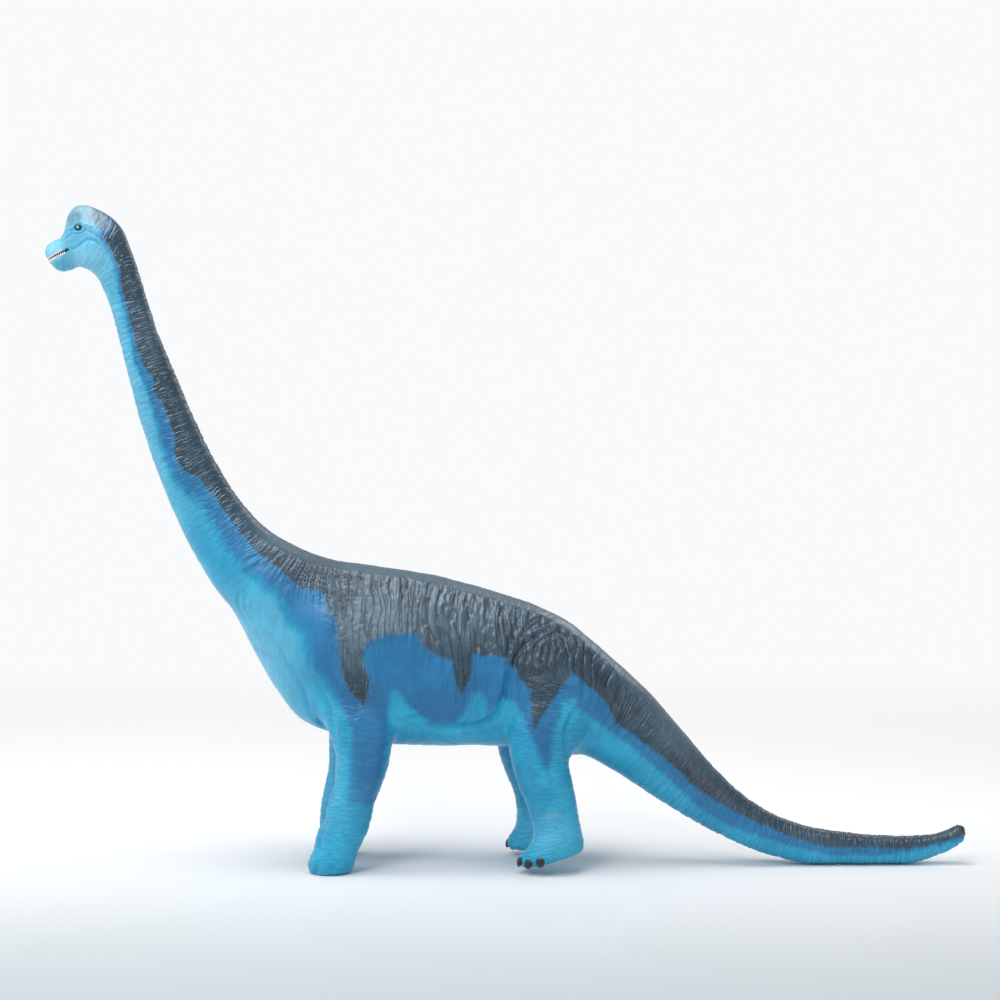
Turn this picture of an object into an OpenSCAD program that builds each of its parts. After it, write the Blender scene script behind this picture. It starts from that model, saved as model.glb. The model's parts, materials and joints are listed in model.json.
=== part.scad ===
// Stuffed moulded-skin Brachiosaurus, standing on its front feet and its tail.
//
// A thin moulded rubber skin is stuffed with fibre. The skin is drawn in lengths:
// stiff lengths that hold their shape, and short bending lengths between them
// where the neck, the tail and the legs flex. Each stiff length holds its own wad.
// The breast and the tops of the front legs are one moulding, glued along a flat
// slanting seam to the rest of the trunk.
//
// Units are millimetres. The head points along -X, the tail along +X, +Z is up.
// The floor is Z = 0 and the plane of symmetry is Y = 0. The left side is -Y.

/* [Skin and stuffing] */
// Thickness of the moulded rubber skin
skin = 2.4; // [2:0.1:2.8]
// Room between the skin and the fibre wads
wad_room = 0.8; // [0.6:0.1:1.6]
// Gap left at each end of a bending length of skin
end_gap = 0.3; // [0.2:0.1:0.6]
// Width of the body, against the drawn width
girth = 1; // [0.9:0.05:1.1]

/* [Breast seam] */
// Slope of the flat seam, in degrees below level
seam_slope = 26; // [24:1:28]
// Width of the inner lip that laps the seam
lip_width = 6; // [4:0.5:8]
// Thickness of the inner lip
lip_thickness = 1.6; // [1.2:0.1:2]

/* [Legs] */
// Distance of each foot from the middle plane
foot_offset = 34; // [32:0.5:36]
// Radius of the root of each hind claw
claw_radius = 2; // [1.6:0.1:2.2]

/* [Head] */
// Half length of each eye
eye_length = 3.2; // [2.6:0.1:3.6]
// Half height of each eye
eye_height = 2.6; // [2.2:0.1:3]
// Number of teeth on each side of each jaw
teeth = 9; // [6:1:11]

/* [Hidden] */

sides = 26;
overlap = 0.3;
seam_x = -118;
seam_z = 133.5;

slate = [0.26, 0.31, 0.36];
cyan = [0.20, 0.62, 0.80];
blue = [0.17, 0.44, 0.70];
pale = [0.42, 0.76, 0.86];
fibre = [0.92, 0.92, 0.90];
black = [0.05, 0.05, 0.06];
ivory = [0.93, 0.92, 0.86];

// ---------------------------------------------------------------------------
// Stations. Each is [upper x, upper z, lower x, lower z, half width].
// They run from the snout to the tip of the tail.

head_line = [
    [-359.5, 480, -359, 476, 2.5],
    [-358.5, 482.5, -357, 472.5, 6.5],
    [-354.5, 486.5, -354, 469, 10],
    [-348, 489.5, -350, 465.5, 12.5],
    [-343, 502, -346, 463.5, 14],
    [-336, 514, -341, 465, 16.5],
    [-322, 513, -337, 467, 17.5],
    [-309, 504, -329, 467, 17],
    [-294, 481, -320.5, 460.5, 15],
    [-286, 458, -314, 448, 13]
];

neck_upper_line = [
    [-280, 437.5, -307.5, 429, 13],
    [-271, 411, -300.5, 401.5, 14],
    [-260, 385, -293.5, 373, 16]
];

neck_lower_line = [
    [-247.5, 355, -285, 341, 18],
    [-232.5, 323, -272.5, 305, 20],
    [-215, 293, -257.5, 268, 22.5]
];

trunk_line = [
    [-189.5, 264, -233.5, 223.5, 27],
    [-162, 248, -214, 197, 33],
    [-135, 239, -196, 163, 39],
    [-115, 236, -183, 140, 43],
    [-99, 234, -165, 117, 46],
    [-80, 231, -138, 104, 47.5],
    [-60, 228, -100, 96, 48],
    [-37, 222, -60, 94, 47.5],
    [-6, 213, -20, 94, 46.5],
    [25, 202, 12, 92, 45],
    [50, 188.5, 36, 88, 42],
    [72, 170, 50, 86.5, 37],
    [97, 148, 59, 86, 31.5]
];

tail_upper_line = [
    [122, 122, 82, 74, 26.5],
    [144, 96, 110, 56, 22.5],
    [164.5, 72.5, 138.5, 38, 18.5]
];

tail_mid_line = [
    [186, 53, 168, 22, 16],
    [211.5, 37.5, 200.5, 8.5, 14.2],
    [238.5, 28.5, 233.5, 0.5, 13]
];

tail_tip_line = [
    [264, 25, 263, 0, 12],
    [291, 22, 291, 0, 11],
    [315.5, 22, 316, 0.5, 9.8],
    [338, 24.5, 342.5, 9, 7.6],
    [351, 30.5, 356, 18.5, 6.2],
    [356.5, 32, 359.5, 23, 3.8]
];

// Leg stations are [front x, front z, back x, back z, half width, sideways].
// They run from the sole up, and the sideways distance is toward the outside.

front_foot = [
    [-153.5, 0, -122.5, 0, 14, foot_offset],
    [-155.5, 3.5, -120.5, 3.5, 16.5, foot_offset],
    [-155, 9, -119, 9, 17.5, foot_offset],
    [-151, 18, -116, 18, 17.5, foot_offset],
    [-149, 30, -110, 30, 17, foot_offset],
    [-144, 43, -106, 43, 16.5, foot_offset],
    [-142, 55, -103, 55, 17, foot_offset],
    [-138, 67, -98, 67, 18, foot_offset]
];
front_knee = [-138, 80, -93, 80, 19, foot_offset];
front_shoulder = [
    [-139, 93, -89, 93, 20, 33],
    [-142, 106, -88, 106, 21, 32],
    [-143, 126, -90, 126, 21, 30],
    [-136, 150, -100, 150, 12, 22]
];

left_foot = [
    [10.5, 4, 55, 15.5, 15.5, foot_offset],
    [8, 7.5, 57.5, 18, 18, foot_offset],
    [9, 13, 57.5, 22.5, 18.5, foot_offset],
    [15, 20, 57, 28, 18, foot_offset],
    [18.5, 30, 55.5, 35, 17, foot_offset],
    [16, 43, 53.5, 46, 16.5, foot_offset],
    [12, 56, 51, 57, 17, foot_offset],
    [8, 65, 48.5, 65, 18, foot_offset]
];
left_knee = [4, 77, 46, 76, 19, foot_offset];
left_thigh = [
    [1, 89, 48, 87, 20, 33],
    [-1, 106, 56, 99, 22, 31],
    [-1, 130, 62, 119, 23, 28],
    [9, 158, 56, 145, 12, 20]
];

right_foot = [
    [1, 5, 45, 8, 15.5, foot_offset],
    [-1, 8.5, 47.5, 11, 18, foot_offset],
    [-0.5, 14, 47.5, 17, 18.5, foot_offset],
    [4, 21, 46.5, 25, 18, foot_offset],
    [6.5, 31, 45, 33, 17, foot_offset],
    [5.5, 43, 43.5, 45, 16.5, foot_offset],
    [2, 56, 40.5, 57, 17, foot_offset],
    [-2, 65, 38, 65, 18, foot_offset]
];
right_knee = [-6, 77, 39, 76, 19, foot_offset];
right_thigh = [
    [-9, 89, 44, 87, 20, 33],
    [-9, 106, 54, 99, 22, 31],
    [-6, 130, 61, 119, 23, 28],
    [5, 158, 56, 145, 12, 20]
];

// ---------------------------------------------------------------------------
// Rings and solids made from stations

function aside(s, side) = len(s) > 5 ? s[5] * side : 0;
function reach(s) = norm([s[0] - s[2], s[1] - s[3]]) / 2;
function between(a, b, t) = [for (i = [0 : len(a) - 1]) a[i] * (1 - t) + b[i] * t];
function gap_part(a, b) =
    end_gap / norm([a[0] + a[2] - b[0] - b[2], a[1] + a[3] - b[1] - b[3]]) * 2;

// One ring of points: grown by g, then scaled about its centre by k.
function ring(s, g, side = 1, k = 1) =
    let (h = reach(s))
    let (u = [(s[0] - s[2]) / (2 * h), 0, (s[1] - s[3]) / (2 * h)])
    let (c = [(s[0] + s[2]) / 2, aside(s, side), (s[1] + s[3]) / 2])
    [for (i = [0 : sides - 1])
        let (a = 360 * i / sides)
        c + (h + g) * k * cos(a) * u + [0, (s[4] * girth + g) * k * sin(a), 0]];

function walls(start, count, turned) =
    [for (j = [0 : count - 2], i = [0 : sides - 1])
        let (a = start + j * sides + i)
        let (b = start + j * sides + (i + 1) % sides)
        each turned ? [[a + sides, b, a], [a + sides, b + sides, b]]
                    : [[a, b, a + sides], [b, b + sides, a + sides]]];

function rim(a0, b0, turned) =
    [for (i = [0 : sides - 1])
        let (a = a0 + i, b = a0 + (i + 1) % sides)
        let (c = b0 + i, d = b0 + (i + 1) % sides)
        each turned ? [[a, b, c], [c, b, d]] : [[a, c, b], [c, d, b]]];

function disc(start, turned) =
    [turned ? [for (i = [0 : sides - 1]) start + i]
            : [for (i = [sides - 1 : -1 : 0]) start + i]];

// A skin open at both ends, or closed at its first or last ring.
module skin_length(outer, inner, first_shut = false, last_shut = false) {
    n_out = len(outer);
    n_in = len(inner);
    in0 = n_out * sides;
    out9 = (n_out - 1) * sides;
    in9 = in0 + (n_in - 1) * sides;
    polyhedron(
        points = concat([for (r = outer) each r], [for (r = inner) each r]),
        faces = concat(
            walls(0, n_out, false),
            walls(in0, n_in, true),
            first_shut ? concat(disc(0, false), disc(in0, true)) : rim(0, in0, false),
            last_shut ? concat(disc(out9, true), disc(in9, false)) : rim(out9, in9, true)
        ),
        convexity = 6
    );
}

// A plain solid through a list of rings.
module solid_length(rings) {
    polyhedron(
        points = [for (r = rings) each r],
        faces = concat(
            walls(0, len(rings), false),
            disc(0, false),
            disc((len(rings) - 1) * sides, true)
        ),
        convexity = 4
    );
}

module tube(line, side = 1) {
    skin_length([for (s = line) ring(s, 0, side)], [for (s = line) ring(s, -skin, side)]);
}

// A bending length of skin from station a to station b, by way of more stations.
module sleeve(a, b, way = [], side = 1) {
    far = len(way) > 0 ? way[0] : b;
    near = len(way) > 0 ? way[len(way) - 1] : a;
    line = concat(
        [between(a, far, gap_part(a, far))],
        len(way) > 0 ? way : [between(a, b, 0.5)],
        [between(b, near, gap_part(b, near))]
    );
    tube(line, side);
}

// A fibre wad filling a line of stations, with rounded ends.
module wad(line, side = 1, less = 0) {
    g = -skin - wad_room - less;
    last = len(line) - 1;
    a = line[0];
    b = line[last];
    solid_length(concat(
        [ring(a, g, side, 0.6)],
        [ring(between(a, line[1], 0.1), g, side, 0.84)],
        [ring(between(a, line[1], 0.3), g, side, 0.97)],
        [for (j = [1 : 1 : last - 1]) ring(line[j], g, side)],
        [ring(between(b, line[last - 1], 0.3), g, side, 0.97)],
        [ring(between(b, line[last - 1], 0.1), g, side, 0.84)],
        [ring(b, g, side, 0.6)]
    ));
}

// A plain solid through a line of stations, grown by g.
module filled(line, g, side = 1) {
    solid_length([for (s = line) ring(s, g, side)]);
}

// A chain of hulls through a line of stations, grown by g.
module chain(line, g, side = 1) {
    for (j = [0 : len(line) - 2])
        hull()
            solid_length([ring(line[j], g, side), ring(line[j + 1], g, side)]);
}

// ---------------------------------------------------------------------------
// Trunk

// The top of a leg, carried up into the trunk and closed there by a low dome.
module limb_root(line, g, side, extra) {
    top = line[len(line) - 1];
    filled(concat([drop(line[0], extra)], [for (j = [1 : len(line) - 1]) line[j]]), g, side);
    hull()
        solid_length([ring(drop(top, 1), g, side), ring(drop(top, -3), g, side, 0.5)]);
}

module all_limb_roots(g, extra) {
    limb_root(front_shoulder, g, -1, extra);
    limb_root(front_shoulder, g, 1, extra);
    limb_root(left_thigh, g, -1, extra);
    limb_root(right_thigh, g, 1, extra);
}

// A station moved straight down by e.
function drop(s, e) = [s[0], s[1] - e, s[2], s[3] - e, s[4], s[5]];

module trunk_outside() {
    filled(trunk_line, 0);
    all_limb_roots(0, 0);
}

// The same line with both ends moved outward by the share e of the end spacing.
function longer(line, e) =
    let (n = len(line) - 1)
    concat([between(line[0], line[1], -e)],
           [for (j = [1 : n - 1]) line[j]],
           [between(line[n], line[n - 1], -e)]);

module trunk_inside() {
    filled(longer(trunk_line, 0.1), -skin);
    all_limb_roots(-skin, 2);
}

// Everything on the lower side of the seam plane, moved up its normal by up.
module below_seam(up) {
    translate([seam_x, 0, seam_z])
        rotate([0, seam_slope, 0])
            translate([-400, -200, up - 400])
                cube([800, 400, 400]);
}

module torso_skin() {
    color(slate)
        difference() {
            trunk_outside();
            trunk_inside();
            below_seam(0.1);
        }
}

module breast_skin() {
    color(cyan) {
        intersection() {
            difference() {
                trunk_outside();
                trunk_inside();
            }
            below_seam(-0.1);
        }
        seam_lip();
    }
}

// The lip is joined inside the breast piece and laps the trunk skin above the seam.
module seam_lip() {
    difference() {
        intersection() {
            union() {
                filled(trunk_line, -skin - 0.2);
                intersection() {
                    filled(trunk_line, -skin + overlap);
                    below_seam(-0.1);
                }
            }
            below_seam(lip_width);
        }
        filled(longer(trunk_line, 0.1), -skin - lip_thickness);
        below_seam(-lip_width);
    }
}

module torso_stuffing() {
    color(fibre)
        wad(trunk_line, 1, lip_thickness + 0.4);
}

// ---------------------------------------------------------------------------
// Neck

module neck_base_sleeve() {
    color(pale)
        sleeve(neck_lower_line[2], trunk_line[0], [[-203, 277.5, -246.5, 246, 24.5]]);
}

module neck_lower_skin() {
    color(cyan)
        tube(neck_lower_line);
}

module neck_lower_stuffing() {
    color(fibre)
        wad(neck_lower_line);
}

module neck_mid_sleeve() {
    color(pale)
        sleeve(neck_upper_line[2], neck_lower_line[0]);
}

module neck_upper_skin() {
    color(cyan)
        tube(neck_upper_line);
}

module neck_upper_stuffing() {
    color(fibre)
        wad(neck_upper_line);
}

module nape_sleeve() {
    color(pale)
        sleeve(head_line[9], neck_upper_line[0]);
}

// ---------------------------------------------------------------------------
// Head

// The mouth runs from the front of the snout up and back to its corner.
mouth_front = [-364, 469.3];
mouth_back = [-337, 482];
mouth_rise = atan2(mouth_back[1] - mouth_front[1], mouth_back[0] - mouth_front[0]);
mouth_length = norm(mouth_back - mouth_front);

// A slab across the head, following the mouth, drawn by a flat outline.
module across_mouth() {
    translate([mouth_front[0], 0, mouth_front[1]])
        rotate([0, -mouth_rise, 0])
            rotate([90, 0, 0])
                translate([0, 0, -30])
                    linear_extrude(60)
                        children();
}

// The slot of the mouth, a row of rods across the head that thins toward its corner.
module mouth_slot() {
    for (j = [0 : 7])
        hull()
            for (t = [j, j + 1])
                translate([mouth_length * t / 8 - (t == 8 ? 1.4 : 0), 0])
                    circle(r = 2.1 - 0.09 * t, $fn = 12);
}

module head_skin() {
    color(slate)
        difference() {
            filled(head_line, 0);
            filled(concat([between(head_line[1], head_line[2], 0.6)],
                         [for (j = [2 : 8]) head_line[j]],
                         [between(head_line[9], head_line[8], -0.2)]), -skin);
            difference() {
                across_mouth()
                    mouth_slot();
                filled([for (j = [1 : 9]) head_line[j]], -1.5);
            }
            eye(-1, 0.15);
            eye(1, 0.15);
        }
}

module head_stuffing() {
    color(fibre)
        wad([for (j = [3 : 9]) head_line[j]]);
}

module eye(side, grow) {
    translate([-334.5, side * 14.7 * girth, 498])
        scale([eye_length + grow, 1.6 + grow, eye_height + grow])
            sphere(r = 1, $fn = 16);
}

module left_eye() {
    color(black)
        eye(-1, 0);
}

module right_eye() {
    color(black)
        eye(1, 0);
}

// A thin gum with a row of pointed teeth; way is -1 for teeth pointing down.
module tooth_row(way) {
    pitch = (mouth_length - 7) / teeth;
    intersection() {
        difference() {
            chain(head_line, -0.1);
            chain([for (j = [1 : 9]) head_line[j]], -1.35);
        }
        across_mouth() {
            for (j = [0 : teeth - 1])
                translate([2 + pitch * j, -way])
                    polygon([[0, -way * 0.4], [pitch * 0.92, -way * 0.4],
                             [pitch * 0.6, way * 0.85], [pitch * 0.35, way * 0.85]]);
            translate([1, way < 0 ? 1 : -1.35])
                square([mouth_length - 8, 0.35]);
        }
    }
}

module upper_teeth() {
    color(ivory)
        tooth_row(-1);
}

module lower_teeth() {
    color(ivory)
        tooth_row(1);
}

// ---------------------------------------------------------------------------
// Tail

module tail_root_sleeve() {
    color(pale)
        sleeve(trunk_line[12], tail_upper_line[0]);
}

module tail_upper_skin() {
    color(slate)
        tube(tail_upper_line);
}

module tail_upper_stuffing() {
    color(fibre)
        wad(tail_upper_line);
}

module tail_mid_sleeve() {
    color(pale)
        sleeve(tail_upper_line[2], tail_mid_line[0]);
}

module tail_mid_skin() {
    color(slate)
        tube(tail_mid_line);
}

module tail_mid_stuffing() {
    color(fibre)
        wad(tail_mid_line);
}

module tail_tip_sleeve() {
    color(pale)
        sleeve(tail_mid_line[2], tail_tip_line[0]);
}

module tail_tip_skin() {
    color(slate)
        skin_length(
            [for (s = tail_tip_line) ring(s, 0)],
            [for (j = [0 : 4]) ring(tail_tip_line[j], -skin)],
            false, true
        );
}

module tail_tip_stuffing() {
    color(fibre)
        wad([for (j = [0 : 3]) tail_tip_line[j]]);
}

// ---------------------------------------------------------------------------
// Legs

// A foot and shin as one cup, closed at the sole.
module foot_cup(line, side) {
    skin_length(
        [for (s = line) ring(s, 0, side)],
        [for (j = [1 : 7]) ring(line[j], -skin, side)],
        true, false
    );
}

module foot_stuffing(line, side) {
    wad([for (j = [1 : 7]) line[j]], side, 0.2);
}

module front_left_sleeve() {
    color(pale)
        sleeve(front_foot[7], front_shoulder[0], [front_knee], -1);
}

module front_left_leg_skin() {
    color(cyan)
        foot_cup(front_foot, -1);
}

module front_left_leg_stuffing() {
    color(fibre)
        foot_stuffing(front_foot, -1);
}

module front_right_sleeve() {
    color(pale)
        sleeve(front_foot[7], front_shoulder[0], [front_knee], 1);
}

module front_right_leg_skin() {
    color(cyan)
        foot_cup(front_foot, 1);
}

module front_right_leg_stuffing() {
    color(fibre)
        foot_stuffing(front_foot, 1);
}

// Three claws round the outer front of a hind foot, cut back to its skin.
module claws(line, side) {
    s = line[1];
    u = [s[0] - s[2], 0, s[1] - s[3]] / 2;
    c = [(s[0] + s[2]) / 2, side * s[5], (s[1] + s[3]) / 2];
    difference() {
        for (turn = [10, 42, 69])
            let (p = c + cos(turn) * u + [0, side * s[4] * girth * sin(turn), 0])
            let (d = (p - c) / norm(p - c))
            hull() {
                translate(p - 0.2 * d + [0, 0, 0.8])
                    sphere(r = claw_radius, $fn = 12);
                translate(p + 1.2 * d + [0, 0, -1.4])
                    sphere(r = claw_radius * 0.55, $fn = 12);
            }
        filled(line, 0.15, side);
    }
}

module hind_left_sleeve() {
    color(pale)
        sleeve(left_foot[7], left_thigh[0], [left_knee], -1);
}

module hind_left_leg_skin() {
    color(blue)
        foot_cup(left_foot, -1);
}

module hind_left_leg_stuffing() {
    color(fibre)
        foot_stuffing(left_foot, -1);
}

module hind_right_sleeve() {
    color(pale)
        sleeve(right_foot[7], right_thigh[0], [right_knee], 1);
}

module hind_right_leg_skin() {
    color(blue)
        foot_cup(right_foot, 1);
}

module hind_right_leg_stuffing() {
    color(fibre)
        foot_stuffing(right_foot, 1);
}

module hind_left_claws() {
    color(black)
        claws(left_foot, -1);
}

module hind_right_claws() {
    color(black)
        claws(right_foot, 1);
}

// ---------------------------------------------------------------------------

torso_skin();
breast_skin();
torso_stuffing();
neck_base_sleeve();
neck_lower_skin();
neck_lower_stuffing();
neck_mid_sleeve();
neck_upper_skin();
neck_upper_stuffing();
nape_sleeve();
head_skin();
head_stuffing();
left_eye();
right_eye();
upper_teeth();
lower_teeth();
tail_root_sleeve();
tail_upper_skin();
tail_upper_stuffing();
tail_mid_sleeve();
tail_mid_skin();
tail_mid_stuffing();
tail_tip_sleeve();
tail_tip_skin();
tail_tip_stuffing();
front_left_sleeve();
front_left_leg_skin();
front_left_leg_stuffing();
front_right_sleeve();
front_right_leg_skin();
front_right_leg_stuffing();
hind_left_sleeve();
hind_left_leg_skin();
hind_left_leg_stuffing();
hind_right_sleeve();
hind_right_leg_skin();
hind_right_leg_stuffing();
hind_left_claws();
hind_right_claws();
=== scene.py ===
import itertools
import json
import math

import bpy
import numpy as np
import openvdb as vdb
from mathutils import Vector
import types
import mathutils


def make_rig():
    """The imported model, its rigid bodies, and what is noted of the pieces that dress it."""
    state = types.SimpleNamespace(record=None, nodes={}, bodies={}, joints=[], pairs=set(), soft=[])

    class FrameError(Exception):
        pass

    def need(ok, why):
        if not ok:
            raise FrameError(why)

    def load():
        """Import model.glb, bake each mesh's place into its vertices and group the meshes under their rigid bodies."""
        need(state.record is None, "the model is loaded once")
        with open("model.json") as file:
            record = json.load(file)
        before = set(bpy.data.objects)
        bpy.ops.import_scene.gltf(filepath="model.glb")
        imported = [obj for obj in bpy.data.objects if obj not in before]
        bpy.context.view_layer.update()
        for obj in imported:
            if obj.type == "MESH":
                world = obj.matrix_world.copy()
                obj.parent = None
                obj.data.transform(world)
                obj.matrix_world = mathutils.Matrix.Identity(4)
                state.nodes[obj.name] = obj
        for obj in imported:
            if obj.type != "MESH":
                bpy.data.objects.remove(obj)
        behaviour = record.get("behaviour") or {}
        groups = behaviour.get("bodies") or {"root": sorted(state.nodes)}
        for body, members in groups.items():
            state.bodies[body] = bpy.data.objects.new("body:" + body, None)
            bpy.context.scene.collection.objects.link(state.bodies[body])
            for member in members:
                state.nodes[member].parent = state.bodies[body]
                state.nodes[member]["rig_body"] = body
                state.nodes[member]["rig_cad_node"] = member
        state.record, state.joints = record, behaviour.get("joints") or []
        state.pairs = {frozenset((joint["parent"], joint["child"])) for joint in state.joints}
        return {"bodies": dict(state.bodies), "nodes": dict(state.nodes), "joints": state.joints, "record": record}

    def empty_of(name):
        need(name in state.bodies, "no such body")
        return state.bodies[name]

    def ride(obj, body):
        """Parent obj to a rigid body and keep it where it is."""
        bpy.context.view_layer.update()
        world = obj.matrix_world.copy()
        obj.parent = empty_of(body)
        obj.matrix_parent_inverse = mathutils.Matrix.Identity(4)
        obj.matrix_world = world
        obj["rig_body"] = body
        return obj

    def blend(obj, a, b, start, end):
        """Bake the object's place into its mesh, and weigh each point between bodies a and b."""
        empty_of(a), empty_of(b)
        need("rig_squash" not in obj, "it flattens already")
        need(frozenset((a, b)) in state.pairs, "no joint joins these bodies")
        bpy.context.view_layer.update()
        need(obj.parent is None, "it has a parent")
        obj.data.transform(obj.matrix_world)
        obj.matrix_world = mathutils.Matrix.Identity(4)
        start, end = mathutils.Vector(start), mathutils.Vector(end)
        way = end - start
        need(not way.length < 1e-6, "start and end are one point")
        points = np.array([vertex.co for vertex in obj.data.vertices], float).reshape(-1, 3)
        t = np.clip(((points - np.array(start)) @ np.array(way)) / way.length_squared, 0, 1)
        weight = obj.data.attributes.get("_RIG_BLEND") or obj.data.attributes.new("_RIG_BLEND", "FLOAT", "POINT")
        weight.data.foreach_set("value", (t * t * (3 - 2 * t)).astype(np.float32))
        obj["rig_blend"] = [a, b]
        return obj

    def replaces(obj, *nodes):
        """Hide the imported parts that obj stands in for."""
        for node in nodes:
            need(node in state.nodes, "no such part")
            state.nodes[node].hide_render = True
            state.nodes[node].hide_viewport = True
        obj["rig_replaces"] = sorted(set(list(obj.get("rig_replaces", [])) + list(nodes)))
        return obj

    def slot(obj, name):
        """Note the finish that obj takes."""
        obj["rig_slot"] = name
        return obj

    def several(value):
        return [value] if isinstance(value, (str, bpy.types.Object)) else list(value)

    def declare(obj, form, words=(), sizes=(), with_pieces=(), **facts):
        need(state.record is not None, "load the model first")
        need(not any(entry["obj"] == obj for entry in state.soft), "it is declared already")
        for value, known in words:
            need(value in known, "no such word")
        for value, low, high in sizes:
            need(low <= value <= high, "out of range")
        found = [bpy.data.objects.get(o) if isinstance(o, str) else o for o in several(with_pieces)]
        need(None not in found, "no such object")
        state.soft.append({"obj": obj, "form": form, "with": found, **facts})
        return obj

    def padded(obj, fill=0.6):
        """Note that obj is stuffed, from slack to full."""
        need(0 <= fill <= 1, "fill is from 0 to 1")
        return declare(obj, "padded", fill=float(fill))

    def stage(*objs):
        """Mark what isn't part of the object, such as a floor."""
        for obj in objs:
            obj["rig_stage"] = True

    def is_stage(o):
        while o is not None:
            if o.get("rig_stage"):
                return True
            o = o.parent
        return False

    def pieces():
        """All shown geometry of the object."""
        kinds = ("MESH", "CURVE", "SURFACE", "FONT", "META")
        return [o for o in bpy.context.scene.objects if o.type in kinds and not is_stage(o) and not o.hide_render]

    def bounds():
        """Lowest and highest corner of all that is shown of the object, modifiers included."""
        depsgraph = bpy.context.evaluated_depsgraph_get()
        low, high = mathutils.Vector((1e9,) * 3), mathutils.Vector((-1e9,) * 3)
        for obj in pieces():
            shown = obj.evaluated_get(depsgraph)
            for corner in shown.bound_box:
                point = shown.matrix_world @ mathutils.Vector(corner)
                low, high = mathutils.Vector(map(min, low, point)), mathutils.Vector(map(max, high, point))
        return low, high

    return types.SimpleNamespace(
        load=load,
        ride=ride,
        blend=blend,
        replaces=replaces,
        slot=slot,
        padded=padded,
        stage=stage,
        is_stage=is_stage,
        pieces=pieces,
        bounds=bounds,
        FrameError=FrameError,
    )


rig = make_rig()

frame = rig.load()
cad_box = [list(v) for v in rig.bounds()]

MM = 0.001
EPS = 1e-9

# ---------------------------------------------------------------------------
# Stations, in millimetres: [upper x, upper z, lower x, lower z, half width].
# The body runs from the snout to the tip of the tail, each leg from its sole up.

SPINE = [
    [-359.8, 480, -359.2, 475.5, 2.5], [-358.8, 483, -357.5, 472.2, 6.5], [-355.8, 485.9, -354.6, 469, 10],
    [-352, 488.2, -351.4, 465.6, 12.3], [-347.2, 490.6, -348, 464.2, 13.6], [-343.4, 498.6, -345.2, 463.9, 14.8],
    [-341.8, 507, -342.8, 464.6, 15.8], [-336, 514.2, -339.6, 465.2, 16.8], [-327, 515, -336, 467, 17.4],
    [-318, 511.6, -333, 467.6, 17.5], [-310.5, 507.4, -330, 467.2, 17.2], [-301.2, 498.4, -326, 465, 16.2],
    [-293.6, 481, -320.5, 460.5, 15],
    [-286, 458, -314, 448, 13], [-280, 437.5, -307.5, 429, 13], [-271, 411, -300.5, 401.5, 14],
    [-260, 385, -293.5, 373, 16], [-247.5, 355, -285, 341, 18], [-232.5, 323, -272.5, 305, 20],
    [-215, 293, -257.5, 268, 22.5], [-203, 277.5, -246.5, 246, 24.5], [-189.5, 264, -233.5, 223.5, 27],
    [-162, 248, -214, 197, 33], [-135, 239, -196, 163, 39], [-115, 236, -183, 140, 43],
    [-99, 234, -165, 117, 46], [-80, 231, -138, 104, 47.5], [-60, 228, -100, 96, 48],
    [-37, 222, -60, 94, 47.5], [-6, 213, -20, 94, 46.5], [25, 202, 12, 92, 45],
    [50, 188.5, 36, 88, 42], [72, 170, 50, 86.5, 37], [97, 148, 59, 86, 31.5],
    [122, 122, 82, 74, 26.5], [144, 96, 110, 56, 22.5], [164.5, 72.5, 138.5, 38, 18.5],
    [186, 53, 168, 22, 16], [211.5, 37.5, 200.5, 8.5, 14.2], [238.5, 28.5, 233.5, 0.5, 13],
    [264, 25, 263, 0.2, 12], [291, 22, 291, 0.2, 11], [315.5, 22, 316, 0.5, 9.8],
    [337, 23.8, 341.5, 8.6, 7.6], [348, 28, 352.5, 14.4, 6.8], [355, 30.8, 358, 19.4, 4.8],
    [357.6, 29.6, 359.2, 22.6, 2.4],
]
FRONT_LEFT = [
    [-153.5, 0, -122.5, 0, 14, 34], [-155.5, 3.5, -120.5, 3.5, 16.5, 34], [-155, 9, -119, 9, 17.5, 34],
    [-151, 18, -116, 18, 17.5, 34], [-148.5, 30, -110, 30, 17, 34], [-143, 43, -106, 43, 16.5, 34],
    [-139.5, 55, -103.5, 55, 17, 34], [-135, 67, -98.5, 67, 18, 34], [-134, 80, -94, 80, 19, 34],
    [-134, 93, -91, 93, 20, 33], [-138, 106, -89.5, 106, 21, 32], [-142, 126, -91, 126, 21, 30],
    [-136, 150, -100, 150, 12, 22],
]
# how far the far front leg's front and rear edges stand ahead of the near one's, from the sole up
AHEAD = [
    [0, 0], [0, 0], [0, 0], [-0.5, -1], [-2.5, -3], [-6.5, -4], [-7.5, -4.5], [-9.5, -4.5], [-9.5, -4],
    [-9.5, -3], [-6, -0.5], [-1, 1], [0, 0],
]
FRONT_RIGHT = [[a + p, b, c + q, *rest] for (a, b, c, *rest), (p, q) in zip(FRONT_LEFT, AHEAD)]
HIND_LEFT = [
    [10.5, 4, 55, 15.5, 15.5, 34], [8, 7.5, 57.5, 18, 18, 34], [9, 13, 57.5, 22.5, 18.5, 34],
    [15, 20, 57, 28, 18, 34], [18.5, 30, 55.5, 35, 17, 34], [16, 43, 53.5, 46, 16.5, 34],
    [12, 56, 51.5, 57, 17, 34], [8, 65, 50, 65, 18, 34], [4, 77, 47.8, 76, 19, 34],
    [1, 89, 46, 87, 20, 33], [-1, 106, 51, 99, 22, 31], [-1, 130, 62, 119, 23, 28],
    [9, 158, 56, 145, 12, 20],
]
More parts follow.
